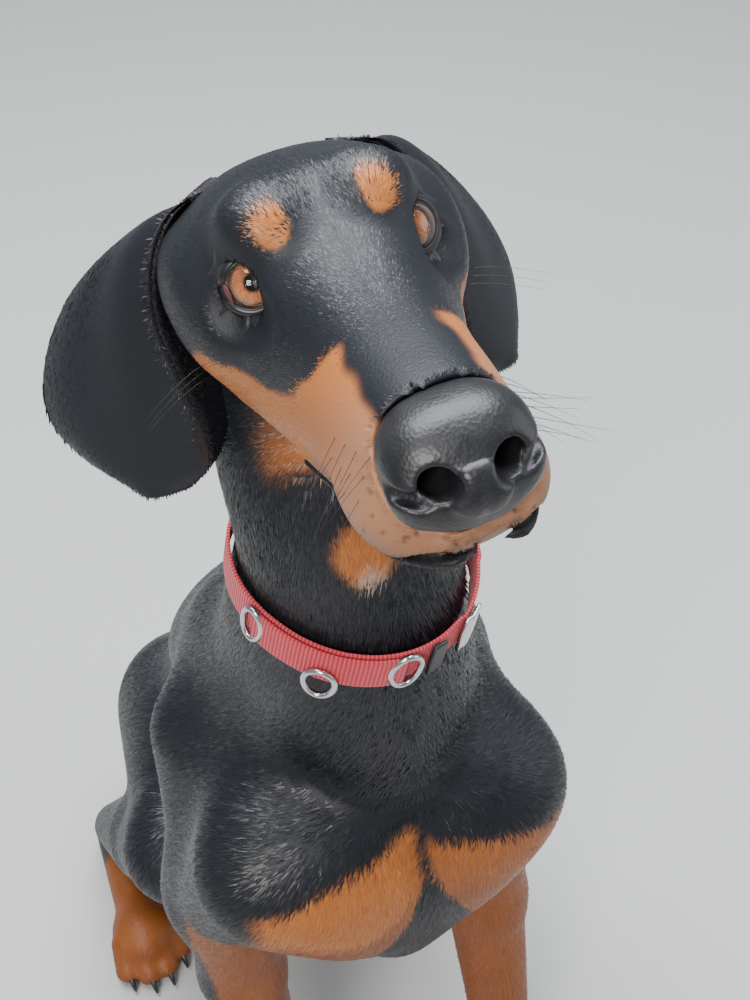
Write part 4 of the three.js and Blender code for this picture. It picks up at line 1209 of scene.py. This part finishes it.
WEBBING = finish("webbing", (0.62, 0.035, 0.045), 0.78, Sheen_Weight=0.25, Specular_IOR_Level=0.3)
ribbed(WEBBING)
STEEL = finish("steel", (0.62, 0.62, 0.64), 0.22, 1.0)
PLASTIC = finish("plastic", (0.018, 0.018, 0.02), 0.4)
LOOP_FROM, LOOP_TO = FRONT - 1.26, FRONT - 0.05
HALF = WIDTH / 2
strap("webbing_band", 0, 2 * math.pi, GAP, THICK, HALF, 300, WEBBING, "webbing", "collar_band")
strap("webbing_loop", LOOP_FROM, LOOP_TO, OUTER, THICK, HALF, 90, WEBBING, "webbing", "collar_loop")
KEEPER_SPAN = (FRONT + 0.145, FRONT + 0.255)
SLIDE_SPAN = (FRONT + 0.47, FRONT + 0.65)
PLATE_OUT, PLATE_THICK = OUTER + 0.5, 2.5
strap("keeper_plate", *KEEPER_SPAN, PLATE_OUT, PLATE_THICK, HALF + 1, 16, PLASTIC, "keeper", "keeper")
strap("slide_plate", *SLIDE_SPAN, PLATE_OUT, PLATE_THICK, HALF + 3, 20, STEEL, "ring_metal", "slide")

# %% [markdown]
# ### Rings
# The rings are bent from round wire, 3.4 mm thick. Each is a circle of wire carried round an oval that
# lies on the collar; the last section is the first again, which closes the seam.

# %%
WIRE = 3.4


def wire_ring(name, angle, wide, tall, out, drop, node):
    """A ring of round wire on the collar: an oval of half sizes wide and tall, lowered by drop."""
    q = np.linspace(0, 2 * np.pi, 48, endpoint=False)
    w = np.linspace(0, 2 * np.pi, 14, endpoint=False)
    tube = WIRE / 2
    across = (wide + tube * np.cos(w)[None]) * np.cos(q)[:, None]
    up = (tall + tube * np.cos(w)[None]) * np.sin(q)[:, None] + drop
    off = out + tube + tube * np.sin(w)[None]
    p = collar_point(angle + across / NECK_RADIUS, off, up)
    points, tri = closed_rings(np.concatenate([p, p[:1]]), ends=False)
    return wear(mesh(name, metres(points), tri), STEEL, "ring_metal", node)


wire_ring("wire_right", LOOP_FROM, 7, 11, OUTER + 0.3, 0, "ring_right")
wire_ring("wire_left", LOOP_TO, 8, 12, OUTER + 0.3, 0, "ring_left")
wire_ring("wire_dee", FRONT - 0.64, 8, 10, OUTER + 2.5, -WIDTH / 2, "dee_ring")
print("collar made")


# %% [markdown]
# ## Coat
# Short, hard, close hair. Each tuft is a thin pointed blade that lies nearly flat along the way the coat
# grows: back over the head, down the neck and trunk, down the legs. Blades overlap like slates, are
# shortest on the face and feet, and take the coat's colour at their roots. Their shading normals lean to
# those of the skin, so that the coat reads as one glossy surface with fine streaks.

# %%
def lie(p, n):
    """Direction in which the hair lies at places p with normals n, in the surface."""
    v = head_local(p)
    s = SPINE[nearest(p)]
    way = np.stack([np.zeros(len(p)), -s[:, 6], -s[:, 7]], 1)
    side = np.sign(p[:, 0] - s[:, 2])
    way[:, 0] += 0.18 * side
    down = np.array([0.0, 0.12, -1.0])
    legs = 1 - step_up(p[:, 2], 250, 360)
    legs = np.maximum(legs, step_up(p[:, 1], 130, 220) * (1 - step_up(p[:, 2], 300, 400)) * 0.8)
    way = way * (1 - legs[:, None]) + down * legs[:, None]
    feet = (1 - step_up(p[:, 2], 34, 60))[:, None]
    way = way * (1 - feet) + np.array([0.0, -1.0, -0.35]) * feet
    head = (step_up(v[:, 0], -95, -45) * step_up(v[:, 2], -120, -85))[:, None]
    back = -HF + 0.30 * np.sign(v[:, 1])[:, None] * HL * step_up(v[:, 0], -80, 60)[:, None] - 0.22 * HU
    way = way * (1 - head) + back * head
    swirl = np.stack([noise(p + k, 34.0) for k in (7, 61, 113)], 1) * 0.20
    way = way + swirl + rng.normal(0, 0.10, p.shape)
    way = way - (way * n).sum(1)[:, None] * n
    return unit(way)


def scatter(points, faces, count, weight):
    """Roots spread evenly by area times weight: their places and normals."""
    if faces.shape[1] == 4:
        faces = np.concatenate([faces[:, [0, 1, 2]], faces[:, [0, 2, 3]]])
    n = mesh_normals(points, faces)
    a, b, c = (points[faces[:, k]] for k in range(3))
    area = np.linalg.norm(np.cross(b - a, c - a), axis=1) / 2
    centre = (a + b + c) / 3
    total = np.cumsum(area * weight(centre))
    u = (np.arange(count) + rng.random(count)) / count * total[-1]
    pick = np.searchsorted(total, u)
    r1, r2 = np.sqrt(rng.random(count))[:, None], rng.random(count)[:, None]
    corners = faces[pick].T
    shares = (1 - r1, r1 * (1 - r2), r1 * r2)
    place, normal = (sum(w * q[k] for w, k in zip(shares, corners)) for q in (points, n))
    return place, unit(normal)


def root_map(p, n):
    """Place of each root on an unwrap of the skin: six faces of a box, each in a cell of its own."""
    axis = np.abs(n).argmax(1)
    sign = np.take_along_axis(n, axis[:, None], 1)[:, 0] > 0
    cell = axis * 2 + sign
    low, high = p.min(0), p.max(0)
    q = (p - low) / (high - low).max()
    u = np.where(axis == 0, q[:, 1], q[:, 0])
    v = np.where(axis == 2, q[:, 1], q[:, 2])
    return np.stack([(cell % 3 + 0.02 + 0.94 * u) / 3, (cell // 3 + 0.02 + 0.94 * v) / 2], 1)


PATCH = 0.0015
ROOT_TO_TIP = np.array([0.86, 0.86, 1.0, 1.0, 1.12])


def fur(name, roots, n, length, width, lift):
    """Blades of three triangles: two points at the root, two in the middle and one at the tip."""
    way = lie(roots, n)
    count = len(roots)
    size = rng.uniform(0.75, 1.25, count)
    length = (length * size)[:, None]
    wide = np.cross(way, n) * (width * rng.uniform(0.8, 1.2, count))[:, None] / 2
    roll = n * rng.normal(0, 0.10, count)[:, None] * np.linalg.norm(wide, axis=1)[:, None]
    wide = wide + roll
    lean = np.asarray(lift)[:, None] * rng.uniform(0.5, 1.15, count)[:, None]
    start = roots - n * 0.15
    mid = start + way * length * 0.5 + n * lean * 0.75
    tip = start + way * length + n * lean
    p = np.stack([start - wide, start + wide, mid + wide * 0.85, mid - wide * 0.85, tip], 1)
    base = np.arange(count)[:, None] * 5
    tri = np.concatenate([base + [0, 1, 2], base + [0, 2, 3], base + [3, 2, 4]])
    tone = coat_tone(roots + way * rng.normal(0, 2.2, count)[:, None])
    tone = tone * rng.uniform(0.86, 1.16, count)[:, None]
    tone = tone[:, None] * ROOT_TO_TIP[None, :, None]
    o = mesh(name, metres(p.reshape(-1, 3)), tri, tone.reshape(-1, 3))
    where = root_map(roots, n)
    corner = np.array([[-1, -1], [1, -1], [1, 0.4], [-1, 0.4], [0, 1]]) * PATCH
    uv = (where[:, None] + corner[None]).reshape(-1, 2)[tri.ravel()]
    o.data.uv_layers.new(name="OFBake").data.foreach_set("uv", uv.astype(np.float32).ravel())
    soft = unit(n + rng.normal(0, 0.09, n.shape) - way * 0.08)
    o.data.normals_split_custom_set_from_vertices(np.repeat(soft, 5, axis=0).astype(np.float32))
    return wear(o, HAIR, "coat")


def bare_free(p):
    """1 where hair grows and 0 on the lips, in the eye openings and under the nose leather."""
    v = head_local(p)
    m = one_side(v)
    keep = np.ones(len(p))
    keep[np.linalg.norm(m - EYE - [1.5, 0.5, 0], axis=1) < 18.5] = 0
    near = np.flatnonzero(v[:, 0] > 20)
    keep[near] *= 1 - step_up(lip_share(p[near]), 0.2, 0.5)
    nose = np.flatnonzero(v[:, 0] > 96)
    keep[nose] *= nose_field(v[nose], False) > 2.0
    return keep


def fineness(p):
    """How short and thin the hair is: 1 on the trunk, less on the neck, least on the muzzle and feet."""
    v = head_local(p)
    head = step_up(v[:, 0], -110, -30) * step_up(v[:, 2], -130, -80)
    muzzle = step_up(v[:, 0], 30, 100)
    feet = 1 - step_up(p[:, 2], 40, 150)
    m = one_side(v)
    eye = 1 - step_up(np.linalg.norm(m - EYE, axis=1), 19, 32)
    return (1 - 0.48 * head - 0.24 * head * muzzle) * (1 - 0.5 * feet) * (1 - 0.5 * eye)


TUFTS = {"body": 240000, "head": 150000, "ear": 26000}
PER_PIECE = 60000
TUFT_LENGTH = 7.5
TUFT_WIDTH = 0.9


def cover(label, points, faces, count, weight, part_of, lift=0.5, scale=1.0):
    """Scatters tufts over a skin and makes them in pieces by the part of the animal they grow on."""
    roots, n = scatter(points, faces, count, weight)
    part = part_of(roots)
    made = 0
    for key in np.unique(part):
        at = np.flatnonzero(part == key)
        pieces = int(np.ceil(len(at) / PER_PIECE))
        for k, chunk in enumerate(np.array_split(at[np.argsort(roots[at, 2])], pieces)):
            f = fineness(roots[chunk])
            long, wide = TUFT_LENGTH * f * scale, TUFT_WIDTH * f ** 0.8
            fur(f"coat_{label}_{key}_{k}", roots[chunk], n[chunk], long, wide, lift * f)
            made += 3 * len(chunk)
    return made


def body_part(p):
    """Number of the part a root is on: trunk, forelegs or hind legs, left and right apart."""
    side = (p[:, 0] > 4).astype(int)
    hind = (p[:, 1] > 150) & (p[:, 2] < 330)
    fore = (p[:, 1] <= 150) & (p[:, 2] < 400)
    return side + 2 * fore + 4 * hind


def head_part(p):
    """1 on the muzzle, 0 behind the eyes."""
    return (head_local(p)[:, 0] > 10).astype(int)


def one_part(p):
    """The same part number everywhere."""
    return np.zeros(len(p), int)


def body_weight(p):
    """How dense the tufts are on the body: denser where they are short, none on the soles."""
    return (p[:, 2] > 1.5) / fineness(p) ** 0.9 * (above_collar(p) < 6)


def head_weight(p):
    """How dense the tufts are on the head: denser where they are short, none on bare skin."""
    return bare_free(p) / fineness(p) ** 0.9


def even_weight(p):
    """The same density everywhere."""
    return np.ones(len(p))


made = cover("body", body_p, body_q, TUFTS["body"], body_weight, body_part)
made += cover("head", head_p, head_q, TUFTS["head"], head_weight, head_part)
for side, label in ((1, "left"), (-1, "right")):
    made += cover(f"ear_{label}", *ears[side], TUFTS["ear"], even_weight, one_part, 0.15, 0.6)
print("coat", made, "triangles")


# %% [markdown]
# ## Floor, light and camera
# A pale plain floor and soft studio light: a wide panel overhead that gives the broad shine on the skull
# and back, a key from the front and a weak fill. The camera looks down at the dog from standing height.

# %%
def aimed(o, at, x, y, z):
    """Links an object and stands it at a place in metres with the directions x, y and z."""
    bpy.context.scene.collection.objects.link(o)
    m = np.eye(4)
    m[:3, 0], m[:3, 1], m[:3, 2], m[:3, 3] = x, y, z, at
    o.matrix_world = Matrix(m)


def panel(name, at, aim, size, power, colour):
    """A soft rectangular light at a place in metres, turned to another."""
    data = bpy.data.lights.new(name, "AREA")
    data.shape = "RECTANGLE"
    data.size, data.size_y = size
    data.energy = power
    data.color = colour
    z = unit(np.array(at) - np.array(aim))
    x = unit(np.cross([0, 0, 1], z)) if abs(z[2]) < 0.99 else np.array([1.0, 0, 0])
    aimed(bpy.data.objects.new(name, data), at, x, np.cross(z, x), z)


HALF_FLOOR = 9
corners = HALF_FLOOR * np.array([[-1, -1, 0], [1, -1, 0], [1, 1, 0], [-1, 1, 0]])
floor = mesh("floor", corners, np.array([[0, 1, 2, 3]]), None, False)
floor.data.materials.append(finish("floor", (0.50, 0.50, 0.485), 0.75))
panel("overhead", (0.1, 0.5, 2.6), (0, -0.1, 0.5), (2.2, 1.8), 150, (0.93, 0.96, 1.0))
panel("key", (-1.3, -1.5, 2.1), (0, 0, 0.6), (0.8, 0.8), 46, (1.0, 0.97, 0.93))
panel("fill", (1.9, -0.9, 1.3), (0, 0, 0.6), (1.4, 1.4), 12, (0.95, 0.97, 1.0))
world = bpy.data.worlds.new("studio")
world.use_nodes = True
world.node_tree.nodes["Background"].inputs["Color"].default_value = (0.80, 0.86, 0.95, 1)
world.node_tree.nodes["Background"].inputs["Strength"].default_value = 0.4
bpy.context.scene.world = world

# %% [markdown]
# The camera stands in front and to the dog's right, pitched 45 degrees down, with a lens a little longer
# than the height of its frame, so that the head is large and the body falls away below it.

# %%
PITCH, YAW = math.radians(45), math.radians(27)
FRAME_HEIGHT = 36
LENS_TO_HEIGHT = 1.4
right = np.array([math.cos(YAW), -math.sin(YAW), 0])
ahead = np.array([math.sin(YAW) * math.cos(PITCH), math.cos(YAW) * math.cos(PITCH), -math.sin(PITCH)])
data = bpy.data.cameras.new("camera")
data.sensor_fit = "VERTICAL"
data.sensor_height = FRAME_HEIGHT
data.lens = FRAME_HEIGHT * LENS_TO_HEIGHT
data.clip_start = 0.02
camera = bpy.data.objects.new("camera", data)
aimed(camera, metres(CAMERA), right, np.cross(right, ahead), -ahead)
bpy.context.scene.camera = camera
